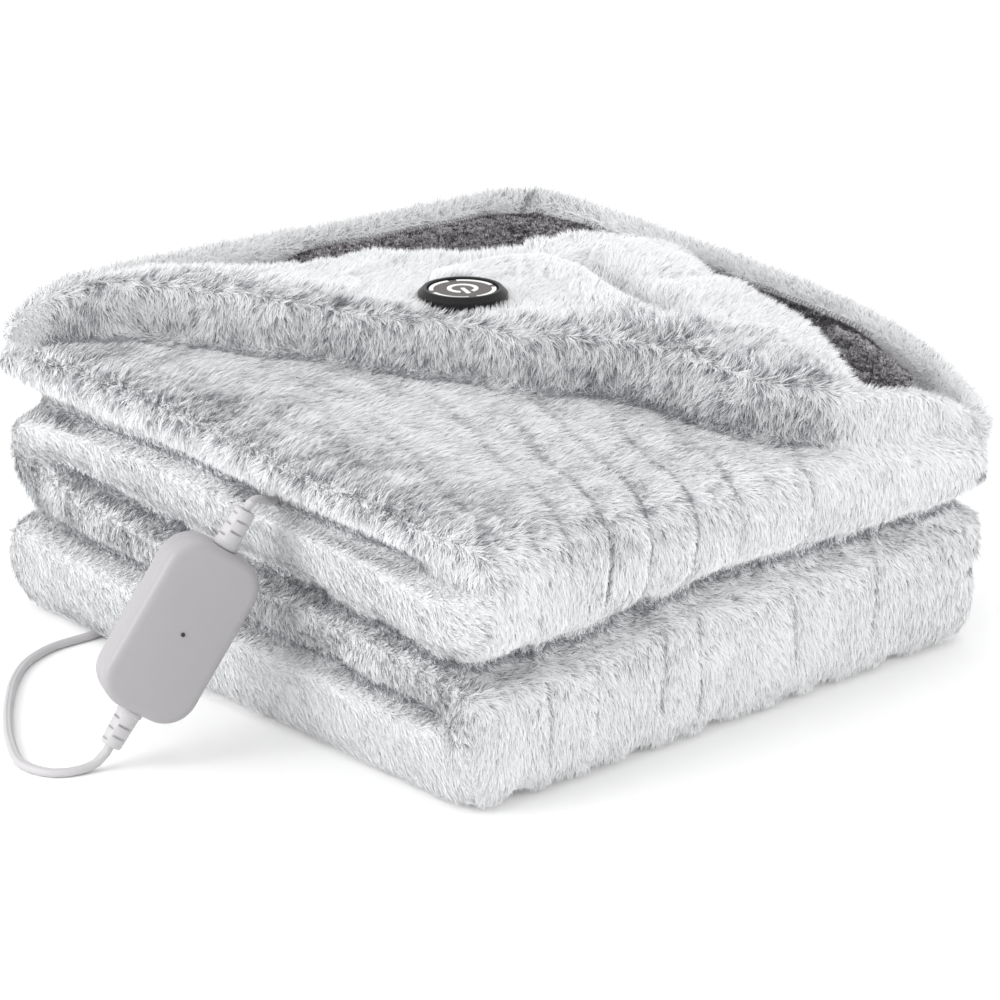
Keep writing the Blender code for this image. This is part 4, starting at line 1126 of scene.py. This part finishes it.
def layer_roughness(points):
    """How rough each point's layer is on the left side and on the front fold."""
    x, _, u, v = corner_places(points)
    z = points[:, 2]
    on_side, on_fold = np.zeros(len(points)), np.zeros(len(points))
    foot = np.zeros(len(points))
    for number, (side, fold) in enumerate(zip(SIDE_ROUGH, FOLD_ROUGH), 1):
        top = layer_top(number, u, v)
        inside = (z > foot) & (z <= top)
        share = np.clip((z - foot) / (top - foot), 0, 1) * inside
        on_side += inside * (side.foot + side.rise * step_up(share, side.start, side.end))
        smoother = 1 - 0.7 * step_up(x, 0.17, 0.26) if number == len(FOLD_ROUGH) else 1.0
        on_fold += inside * (fold.foot + fold.rise * share) * smoother
        foot = top
    return on_side, on_fold


def roughness_map(points, normals):
    """How far the pile stands apart and shows its grey roots and the painted shade between its tufts: 0 where
    it lies smooth, 1 where it is rough.
    """
    patches = lattice_noise(points, 0.030, SEED + 5)
    small = lattice_noise(points, 0.009, SEED + 6)
    side = step_up(np.abs(normals[:, 0]), 0.35, 0.65)
    fold = step_up(np.abs(normals[:, 1]), 0.35, 0.65) * (1 - side)
    left_edge = step_up(-corner_places(points)[0], -0.080, -0.02)
    rough = (1 - np.maximum(side, fold)) * (0.17 + 0.06 * step_up(patches, 0.5, 0.8) + 0.45 * left_edge)
    on_side, on_fold = layer_roughness(points)
    rough += side * on_side
    rough += fold * on_fold
    behind = behind_roll(points)
    across, _ = diagonal_places(points)
    rightward = step_up(across, -0.05, 0.12)
    roll = hump(behind, 0.005 + 0.011 * rightward, 0.010 + 0.018 * rightward)
    flap = 0.03 + 0.95 * roll * (0.75 + 0.25 * rightward) + 0.25 * rightward * hump(behind, 0.05, 0.04)
    flap *= 1 - 0.85 * step_up(across, 0.165, 0.205)
    rough = mix(rough, flap, step_up(behind, -0.006, -0.001))
    rough *= (0.80 + 0.4 * patches) * (0.75 + 0.5 * small)
    return np.clip(rough * (1 - 0.92 * on_hem(points)) + 0.42 * seam_side(points), 0.0, 1.0)


# ---- undercoat
def ply_depths(body, points, normals):
    """How deep the undercoat lies at each point: less where the cloth is thin."""
    tree = surface_tree(body)
    depth = np.full(len(points), UNDERCOAT_DEPTH)
    for k, (point, normal) in enumerate(zip(points, normals)):
        inward = -Vector(normal)
        hit = tree.ray_cast(Vector(point) + inward * PROBE_START, inward, PROBE_REACH)
        if hit[3] is not None:
            depth[k] = min(depth[k], THIN_SHARE * hit[3])
    return depth


def undercoat(finish):
    """The cloth's folded body inside its pile."""
    body = node_copy("pile_undercoat", "fur_blanket")
    step = body.modifiers.new("even mesh", "REMESH")
    step.mode, step.voxel_size = "VOXEL", VOXEL
    step = body.modifiers.new("soft", "SMOOTH")
    step.factor, step.iterations = 0.5, 3
    apply_modifiers(body)
    points, normals = mesh_arrays(body)
    on_flap = step_up(behind_roll(points), 0.004, 0.018) * (1 - on_hem(points))
    edge = step_up(past_upper_ply(points), -0.030, -0.004)
    lift = fold_heights(points, FOLDS) * (1 - 0.8 * edge) - EDGE_DROP * edge
    points[:, 2] += lift * on_flap * step_up(normals[:, 2], 0.0, 0.4)
    depth = ply_depths(body, points, normals)
    under = step_up(-normals[:, 2], 0.5, 0.9) * step_up(-points[:, 2], -FLOOR_BAND, -0.002)
    depth *= (1 - under) * (1 - on_hem(points))
    depth += 0.9 * stitch_troughs(points, normals)[0] + CREASE_DEPTH * creases(points)[1]
    points -= normals * depth[:, None]
    points[:, 2] = np.maximum(points[:, 2], FLOOR_GAP)
    body.data.vertices.foreach_set("co", points.astype(np.float32).ravel())
    body.data.update()
    body.data.shade_smooth()
    set_attribute(body, "rough", roughness_map(*mesh_arrays(body)))
    finish_piece(body, finish, ("fur_blanket",))
    return body


# ---- pile
def openness(points, normals, tree):
    """Share of the directions over each point that are free."""
    rays = unit(np.random.default_rng(SEED).normal(size=(OPEN_RAYS, 3)))
    free = np.zeros(len(points))
    for k, (point, normal) in enumerate(zip(points, normals)):
        start = Vector(point + normal * OPEN_START)
        for ray in rays:
            way = ray if ray @ normal > 0 else -ray
            if tree.ray_cast(start, Vector(way), OPEN_REACH)[3] is None:
                free[k] += 1
    return free / OPEN_RAYS


def triangle_corners(piece):
    piece.data.calc_loop_triangles()
    corners = np.empty(len(piece.data.loop_triangles) * 3, np.int32)
    piece.data.loop_triangles.foreach_get("vertices", corners)
    return corners.reshape(-1, 3)


def scatter(points, normals, corners, weight, count, rng):
    """Even random places over a mesh: each one's triangle, its share of the corners, point and normal."""
    a, b, c = points[corners[:, 0]], points[corners[:, 1]], points[corners[:, 2]]
    weight = weight * np.linalg.norm(np.cross(b - a, c - a), axis=1)
    chosen = rng.choice(len(corners), size=count, p=weight / weight.sum())
    u, v = rng.random(count), rng.random(count)
    flip = u + v > 1
    u[flip], v[flip] = 1 - u[flip], 1 - v[flip]
    blend = np.stack((1 - u - v, u, v), axis=1)
    roots = (points[corners[chosen]] * blend[:, :, None]).sum(axis=1)
    facing = unit((normals[corners[chosen]] * blend[:, :, None]).sum(axis=1))
    return chosen, blend, roots, facing


def strand_roots(body, velvet_tree):
    """Where the strands grow: even over all of the cloth that can be seen."""
    corners = triangle_corners(body)
    points, normals = mesh_arrays(body)
    free = openness(points, normals, surface_tree(body))
    middles = points[corners].mean(axis=1)
    weight = step_up(free[corners].mean(axis=1), 0.06, 0.25)
    weight[(normals[corners][:, :, 2].mean(axis=1) < -0.6) & (middles[:, 2] < NO_PILE_BELOW)] = 0.0
    drop_covered(weight, middles, velvet_tree, UP, COVERED_WITHIN)
    rng = np.random.default_rng(SEED + 1)
    chosen, blend, roots, facing = scatter(points, normals, corners, weight, STRANDS, rng)
    return roots, facing, (free[corners[chosen]] * blend).sum(axis=1)


class Ground:
    """What the cloth is like at each strand's root."""

    def __init__(self, roots, normals, free):
        self.roots, self.normals, self.free = roots, normals, free
        self.trough, lines = stitch_troughs(roots, normals)
        self.beside_crease = creases(roots)[1]
        self.hem = on_hem(roots)
        self.lines = lines * (1 - self.hem)
        self.raised = step_up(behind_roll(roots), 0.004, 0.016) * (1 - self.hem)
        self.fringe = hump(past_upper_ply(roots), *FRINGE) * self.raised
        outward = roots - (*BUTTON_PLACE, 0.0)
        outward[:, 2] = 0.0
        beyond = np.linalg.norm(outward, axis=1)
        self.from_button = outward / beyond[:, None]
        self.ring = (1 - step_up(beyond - BUTTON_RADIUS, 0.002, 0.008)) * self.raised
        self.rough = np.maximum(roughness_map(roots, normals), 0.55 * self.fringe)


def comb_directions(roots, normals, rough, rng):
    """Which way the pile lies at each root, and how surely."""
    upward = np.clip(normals[:, 2], 0.0, 1.0)[:, None]
    _, _, u, v = corner_places(roots)
    top = mix(TOP_COMB, FLAP_COMB, step_up(behind_roll(roots), 0.004, 0.016)[:, None])
    layered = step_up(-normals[:, 0], 0.3, 0.7) * step_up(layer_top(3, u, v) - roots[:, 2], -0.008, 0.004)
    low = mix(HANG, SIDE_COMB, layered[:, None])
    wish = in_plane(mix(low, top, upward), normals)
    comb = unit(wish, 1e-6)
    # Swirls turn the pile in its own plane, by broad and by small patches.
    swirl = (lattice_noise(roots, 0.055, SEED + 3) - 0.5) * 0.6
    swirl += (lattice_noise(roots, 0.012, SEED + 4) - 0.5) * (0.6 + 2.2 * rough)
    swirl += rng.normal(0.0, 0.14, len(roots)) * (1 + 2 * rough)
    swirl += rng.normal(0.0, 1.3, len(roots)) * on_hem(roots)
    return turned(comb, np.cross(normals, comb), swirl), np.linalg.norm(wish, axis=1)


def strand_ways(ground, rng):
    """Which way each strand points: combed, turned out at the fringe and the button, along the seams."""
    comb, strength = comb_directions(ground.roots, ground.normals, ground.rough, rng)
    comb -= ground.from_button * (0.9 * ground.ring)[:, None]
    comb = unit(mix(comb, edge_directions(ground.roots), 0.8 * ground.fringe[:, None]))
    upward = step_up(ground.normals[:, 2], 0.3, 0.7)[:, None]
    seamwise = in_plane(mix(HANG, -np.array((STITCH_SLANT, 1.0, 0.0)), upward), ground.normals)
    comb = unit(mix(comb, seamwise, 0.8 * ground.lines[:, None]))
    parted = 1 - step_up(strength, 0.20, 0.55)
    lift = SMOOTH_LIFT + (ROUGH_LIFT - SMOOTH_LIFT) * np.maximum(ground.rough, 0.8 * parted)
    lift = mix(lift, HEM_LIFT, ground.hem)
    lift = mix(lift, RING_LIFT, ground.ring)
    lift = mix(lift, FRINGE_LIFT, ground.fringe)
    lift = np.radians(lift + rng.normal(0.0, 5.0 + 7.0 * ground.rough, len(lift)))
    return turned(comb, ground.normals, lift)


def strand_lengths(ground, rng):
    length = STRAND_LENGTH + (ROUGH_LENGTH - STRAND_LENGTH) * ground.rough
    length = mix(length, HEM_LENGTH, ground.hem)
    length = mix(length, FRINGE_LENGTH, ground.fringe)
    sunk = np.maximum(ground.trough / DEEPEST_STITCH, ground.beside_crease)
    length *= (0.75 + 0.5 * rng.random(len(length))) * (1 - 0.45 * sunk)
    return length * (0.55 + 0.45 * step_up(ground.free, 0.1, 0.5))


def gather(roots, tips, pull, rng):
    """Draw neighbouring tips together into tufts."""
    centres = np.sort(rng.choice(len(roots), size=len(roots) // CLUMP_SHARE, replace=False))
    tree = KDTree(len(centres))
    for k, centre in enumerate(centres):
        tree.insert(tips[centre], k)
    tree.balance()
    nearest = np.array([tree.find(tip)[1] for tip in tips])
    aims = tips[centres[nearest]]
    pull = (pull * (0.6 + 0.8 * rng.random(len(roots))))[:, None]
    near = np.linalg.norm(aims - tips, axis=1)[:, None] < CLUMP_REACH
    return np.where(near, tips + (aims - tips) * pull, tips)


def clear_of_pieces(roots, tips):
    """False for strands that would run through the button or the controller."""
    root_away, tip_away = (np.linalg.norm(ends[:, :2] - BUTTON_PLACE, axis=1) for ends in (roots, tips))
    on_button = (root_away < BUTTON_RADIUS + BUTTON_CLEAR) | (tip_away < BUTTON_RADIUS - RIM_OVERHANG)
    keep = ~((roots[:, 2] > BUTTON_LEVEL) & on_button)
    frame_in = np.array(box_matrix().inverted())
    half = np.array(BOX_SIZE) / 2 + BOX_CLEAR
    for ends in (roots, tips):
        local = ends @ frame_in[:3, :3].T + frame_in[:3, 3]
        keep &= ~(np.abs(local) < half).all(axis=1)
    return keep


def strand_tones(ground, tips, rng):
    """How pale each strand is: dark where the pile is rough, for its grey roots and the painted shade between
    its tufts, and painted shade on stitch lines, creases, the hem's mitre, fold valleys and shut-in places.
    """
    roots, normals, rough, hem = ground.roots, ground.normals, ground.rough, ground.hem
    count = len(roots)
    tone = 0.86 + 0.14 * rng.random(count)
    # Dark specks in rough pile: its grey roots, and painted shade in the gaps between its tufts.
    gaps = step_up(lattice_noise(roots, 0.0028, SEED + 12), 0.50, 0.72)
    # Painted shade where the pile is shut in, and along stitch lines, creases and the hem's mitre.
    painted_shut_shade = 1 - step_up(ground.free, 0.20, 0.45)
    painted_line_shade = np.zeros(count)
    for part in SHOWN_AT:
        shown = roots + part * (tips - roots)
        line = np.maximum(stitch_troughs(shown, normals)[1], creases(shown)[0])
        painted_line_shade = np.maximum(painted_line_shade, np.maximum(line * (1 - hem), mitre(shown) * hem))
    # Painted shade in the valleys of the upper ply's folds.
    sunk = step_up(-fold_heights(roots, FOLDS), 0.0005, 0.0060) * ground.raised
    chance = 0.02 + rough * (0.16 + 0.90 * gaps) + 0.97 * painted_line_shade + 0.4 * painted_shut_shade + 0.35 * sunk
    dark = rng.random(count) < chance
    tone = np.where(dark, rng.random(count) * (0.70 - 0.55 * np.maximum(rough, np.maximum(painted_shut_shade, painted_line_shade))), tone)
    always_pale = np.maximum(hem * (1 - seam_side(roots)) * (1 - painted_line_shade), 0.9 * ground.fringe)
    return np.maximum(tone, always_pale * 0.92)


def grow(body, velvet_tree, finish):
    """The pile: one thin triangle for each strand."""
    rng = np.random.default_rng(SEED + 2)
    ground = Ground(*strand_roots(body, velvet_tree))
    roots, normals, rough, hem = ground.roots, ground.normals, ground.rough, ground.hem
    count = len(roots)
    way = strand_ways(ground, rng)
    tips = roots + way * strand_lengths(ground, rng)[:, None]
    tips = gather(roots, tips, 0.22 + 0.45 * np.maximum(rough, 0.5 * hem), rng)
    keep = clear_of_pieces(roots, tips)
    tips[:, 2] = np.maximum(tips[:, 2], 2 * FLOOR_GAP)
    way = unit(tips - roots)
    level = unit(np.cross(way, normals), 1e-6)
    roll = rng.normal(0.0, 1.0, count) * (0.25 + 0.40 * rough)
    across = turned(level, np.cross(way, level), roll)
    half = (STRAND_WIDTH * (0.7 + 0.6 * rng.random(count)) / 2)[:, None]
    tone = strand_tones(ground, tips, rng)
    # Each strand takes most of its shading from the cloth under it, as fine hair does.
    own = (0.20 + 0.30 * rough) * (1 - 0.6 * hem)
    shade = mix(normals, np.cross(across, way), own[:, None])
    shade = unit(shade + rng.normal(0.0, 0.12, (count, 3)) * (1 - 0.5 * hem)[:, None])
    corners = np.stack((roots - across * half, roots + across * half, tips), axis=1)
    for number, share in enumerate(np.array_split(np.nonzero(keep)[0], PIECES), 1):
        strand_piece(f"pile_strands_{number}", corners[share], shade[share], tone[share], finish)


def strand_piece(name, corners, shade, tone, finish):
    """A joined mesh of strands. In its map, u is how pale a strand is and v runs from root to tip."""
    count = len(corners)
    data = bpy.data.meshes.new(name)
    data.vertices.add(count * 3)
    data.vertices.foreach_set("co", corners.astype(np.float32).ravel())
    data.loops.add(count * 3)
    data.loops.foreach_set("vertex_index", np.arange(count * 3, dtype=np.int32))
    data.polygons.add(count)
    data.polygons.foreach_set("loop_start", np.arange(0, count * 3, 3, dtype=np.int32))
    data.update(calc_edges=True)
    layer = data.uv_layers.new(name="OFBake")
    maps = np.zeros((count, 3, 2), np.float32)
    maps[:, :, 0] = np.clip(tone, 0.02, 0.98)[:, None]
    maps[:, 0, 0] -= 0.01
    maps[:, 1, 0] += 0.01
    maps[:, 2, 1] = 1.0
    layer.data.foreach_set("uv", maps.ravel())
    data.normals_split_custom_set_from_vertices(np.repeat(shade, 3, axis=0))
    finish_piece(in_scene(name, data), finish)


# ---- velvet
VELVET_ACROSS = (-0.1425, 0.2275)
VELVET_STEP, VELVET_ROWS = 0.0015, 44
VELVET_SKIN = 0.0008
VELVET_ROUND = 0.022            # its ends are rounded over this much
NAP_STRANDS, NAP_LENGTH, NAP_WIDTH = 80000, 0.0016, 0.00048
CREST_LINE = ((0.159, -0.112), (0.161, -0.127), (0.159, -0.151), (0.153, -0.171), (0.142, -0.199))
# Where the velvet is paler or darker: brushed bands, a painted highlight along the wave's crest and a painted
# shadow behind it; a line of points, how pale, and its half width.
BRUSHED_AND_PAINTED_LIGHT = (
    Fold(((0.011, 0.162), (0.048, 0.170), (0.080, 0.170), (0.106, 0.163), (0.140, 0.156), (0.159, 0.140),
          (0.159, 0.108)), 0.62, 0.010),
    Fold(((0.112, 0.182), (0.151, 0.171), (0.166, 0.162)), -0.20, 0.006),
    Fold(CREST_LINE, 0.55, 0.0060),
    Fold(((0.174, -0.100), (0.178, -0.125), (0.174, -0.158), (0.167, -0.180)), -0.70, 0.0100),
)
VELVET_FOLDS = (
    Fold(CREST_LINE, 0.0085, 0.0090),
    Fold(((0.168, -0.108), (0.171, -0.127), (0.168, -0.155), (0.161, -0.176)), -0.0060, 0.0055),
    Fold(((0.166, -0.040), (0.176, -0.075), (0.180, -0.100)), 0.0020, 0.0080),
    Fold(((-0.030, 0.148), (0.020, 0.158), (0.066, 0.163), (0.121, 0.154), (0.150, 0.140), (0.152, 0.088)),
         0.0035, 0.0085),
    Fold(((0.000, 0.126), (0.060, 0.138), (0.110, 0.128)), 0.0018, 0.0080),
    Fold(((-0.045, 0.135), (0.000, 0.143), (0.060, 0.150), (0.100, 0.143)), -0.0022, 0.0055),
)
VELVET_TAPER = 0.6              # to this share of its depth
VELVET_PROBES = np.arange(-0.12, 0.26, 0.001)
PROBE_HEIGHT, LOWEST_FLAP = 0.30, 0.12
VELVET_WAVER = 0.0024
GROOVE_ROWS, GROOVE_DROP, TUCK_DROP = 5, 0.0018, 0.0025     # at its seam, and under the upper ply
NAP_COVERED = 0.03
STITCH_PITCH, STITCH_HALF, STITCH_LEAN, THREAD, THREAD_SIDES = 0.0024, 0.0011, 0.0006, 0.00030, 5
THREAD_LIE, THREAD_ARCH, THREAD_CLIMB = 0.0006, 0.0010, 0.0012  # its height over the seam, and onto the hem
SEAM_INSET, SEAM_ENDS = 0.0030, 0.004


def height_at(tree, across, deep):
    """The height of a surface on the turned-back corner, or None off it."""
    hit = tree.ray_cast(flap_point(across, deep, PROBE_HEIGHT), -UP)
    return hit[0].z if hit[0] is not None and hit[0].z > LOWEST_FLAP else None


def brushed_and_painted_light(points):
    """How pale the velvet is, from 0 to 1: paler bands, streaks along the window, a painted highlight on the
    wave's crest, a painted shadow behind it, and painted shade towards the right.
    """
    across, deep = diagonal_places(points)
    streaks = lattice_noise(np.stack((across / 5, deep, np.zeros(len(points))), axis=1), 0.0055, SEED + 23)
    # Painted light and shade: paler towards the left and past the crest, where the velvet lies lit, darker
    # between, where it lies in shade.
    leftward = step_up(-across, -0.12, 0.02)
    near_crest = step_up(across, 0.170, 0.185)
    level = 0.05 + 0.25 * leftward + 0.32 * near_crest + fold_heights(points, BRUSHED_AND_PAINTED_LIGHT)
    return np.clip(level + 0.35 * (streaks - 0.5), 0.02, 1.0)


def velvet_grid():
    """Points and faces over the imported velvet's top, column by column, with rounded ends."""
    source = node_copy("velvet_source", "velvet_reverse")
    tree = surface_tree(source)
    first, last = VELVET_ACROSS
    verts = []
    columns = round((last - first) / VELVET_STEP)
    for number in range(columns + 1):
        across = first + (last - first) * number / columns
        inside = [deep for deep in VELVET_PROBES if height_at(tree, across, deep)]
        late = max(1 - (last - across) / VELVET_ROUND, 1 - (across - first) / VELVET_ROUND, 0.0)
        stop = inside[-1] - (inside[-1] - inside[0]) * VELVET_TAPER * (1 - math.sqrt(1 - late * late))
        for deep in np.linspace(inside[0], stop, VELVET_ROWS):
            verts.append(flap_point(across, deep, height_at(tree, across, deep) or verts[-1].z))
    faces = [(k, k + VELVET_ROWS, k + VELVET_ROWS + 1, k + 1)
             for k in range(columns * VELVET_ROWS) if k % VELVET_ROWS < VELVET_ROWS - 1]
    bpy.data.objects.remove(source, do_unlink=True)
    return np.array(verts), faces


def velvet(finish):
    """The reverse inside the hem: brushed waves, and a groove where it is sewn to the hem."""
    points, faces = velvet_grid()
    row = np.arange(len(points)) % VELVET_ROWS
    points[:, 2] += fold_heights(points, VELVET_FOLDS)
    points[:, 2] += (lattice_noise(points, 0.026, SEED + 11) - 0.5) * VELVET_WAVER
    points[:, 2] -= GROOVE_DROP * step_up(row, VELVET_ROWS - GROOVE_ROWS, VELVET_ROWS - 1)
    points[:, 2] -= TUCK_DROP * step_up(-past_upper_ply(points), -0.001, 0.005)
    sheet = mesh_piece("velvet_sheet", points, faces)
    activate(sheet)
    start_editing()
    bpy.ops.mesh.normals_make_consistent(inside=False)
    stop_editing()
    if sheet.data.polygons[0].normal.z < 0:
        sheet.data.flip_normals()
    step = sheet.modifiers.new("skin", "SOLIDIFY")
    step.thickness, step.offset = VELVET_SKIN, -1.0
    apply_modifiers(sheet)
    sheet.data.shade_smooth()
    # Painted shade darkens the velvet's last rows, in the groove at its seam.
    groove = np.ones(len(sheet.data.vertices))
    groove[:len(points)] = step_up(row, VELVET_ROWS - GROOVE_ROWS, VELVET_ROWS - 2)
    set_attribute(sheet, "groove", groove)
    # The brushing map holds the painted highlight on the crest and the painted shade and shadow.
    set_attribute(sheet, "brushed_and_painted_light", brushed_and_painted_light(mesh_arrays(sheet)[0]))
    finish_piece(sheet, finish, ("velvet_reverse",))
    return sheet


def velvet_nap(sheet, body, finish):
    """Short hairs over the velvet that shows."""
    rng = np.random.default_rng(SEED + 20)
    corners = triangle_corners(sheet)
    points, normals = mesh_arrays(sheet)
    weight = (normals[corners][:, :, 2].mean(axis=1) > 0.2).astype(float)
    drop_covered(weight, points[corners].mean(axis=1), surface_tree(body), (-0.3, -0.3, 1), NAP_COVERED)
    _, _, roots, facing = scatter(points, normals, corners, weight, NAP_STRANDS, rng)
    lean = rng.normal(0.0, 0.45, (NAP_STRANDS, 3)) + (-0.35, -0.35, 0.0)
    swept = (lattice_noise(roots, 0.020, SEED + 21) - 0.5)[:, None] * (1.6, -1.6, 0.0)
    way = unit(facing + lean + swept)
    tips = roots + way * (NAP_LENGTH * (0.6 + 0.8 * rng.random(NAP_STRANDS)))[:, None]
    across = unit(np.cross(way, rng.normal(size=(NAP_STRANDS, 3)))) * (NAP_WIDTH / 2)
    along_window, deep = diagonal_places(roots)
    grain = np.stack((along_window / 1.6, deep / 1.4, np.zeros(NAP_STRANDS)), axis=1)
    speckle = step_up(lattice_noise(grain, 0.0013, SEED + 22), 0.34, 0.56)
    # The nap's paleness follows the brushing, with its painted highlight and shadow.
    tone = (0.6 + 0.4 * rng.random(NAP_STRANDS)) * np.clip(0.10 + 2.4 * brushed_and_painted_light(roots), 0.0, 1.0)
    tone *= 0.04 + 0.96 * speckle
    verts = np.stack((roots - across, roots + across, tips), axis=1)
    strand_piece("velvet_nap", verts, unit(facing * 0.7 + way * 0.3), tone, finish)


def seam(velvet_tree, finish):
    """Overlock stitches over the seam between the velvet and the hem: one loop of thread, repeated."""
    turns = [math.tau * k / THREAD_SIDES for k in range(THREAD_SIDES)]
    outline = [(math.cos(turn) * THREAD, math.sin(turn) * THREAD) for turn in turns]
    verts, faces = [], []
    place, end = VELVET_ACROSS[0] + SEAM_ENDS, VELVET_ACROSS[1] - SEAM_ENDS
    lean = STITCH_LEAN
    while place < end:
        deep = min(HEM_REACH - abs(place), HEM_BACK) - HEM_DEEP - SEAM_INSET
        height = height_at(velvet_tree, place, deep)
        place += STITCH_PITCH / math.sqrt(2)
        lean = -lean
        if height is None:
            continue
        out = Vector((1.0, 1.0, 0.0)).normalized()
        if abs(place) > HEM_REACH - HEM_BACK:
            out = Vector((1.0, 0.0, 0.0)) if place > 0 else Vector((0.0, 1.0, 0.0))
        along = Vector((out.y, -out.x, 0.0))
        middle = flap_point(place, deep, height)
        path = [middle + out * (STITCH_HALF * t) + along * (lean * t)
                + UP * (THREAD_LIE + THREAD_ARCH * (1 - t * t) + THREAD_CLIMB * (t + 1))
                for t in (-1.0, -0.5, 0.0, 0.5, 1.0)]
        faces += tube_faces(len(verts), len(path), THREAD_SIDES)
        verts += tube_points(path, outline)
    return finish_piece(closed_mesh("overlock_seam", verts, faces, 60), finish)


# ---- making
def repaint(node, finish):
    """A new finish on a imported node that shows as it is."""
    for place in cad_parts[node].material_slots:
        place.link = "OBJECT"
        place.material = finish


def main():
    camera()
    cord_finish = plastic_finish("pale cord", (0.50, 0.49, 0.50), 0.50)
    plug_pieces = plug(cord_finish, metal_finish())
    tie = coil_tie(cord_finish)
    controller_shell(plastic_finish("grey plastic", (0.365, 0.355, 0.367), 0.42))
    reliefs = [relief(name + "_slotted", name, root, end, cord_finish)
               for name, (root, end) in relief_ends().items()]
    repaint("controller_indicator", plastic_finish("indicator", (0.01, 0.01, 0.01), 0.30))
    leads(cord_finish, plug_pieces + [tie, reliefs[1]])
    repaint("button_rim", plastic_finish("black rim", (0.010, 0.010, 0.011), 0.34, Specular_IOR_Level=0.22))
    repaint("button_face", plastic_finish("button face", (0.085, 0.076, 0.073), 0.50))
    button_marks(plastic_finish("white print", (0.86, 0.86, 0.86), 0.5))
    sheet = velvet(velvet_finish())
    velvet_tree = surface_tree(sheet)
    seam(velvet_tree, thread_finish())
    body = undercoat(undercoat_finish())
    grow(body, velvet_tree, strand_finish())
    velvet_nap(sheet, body, nap_finish())
    studio()


main()
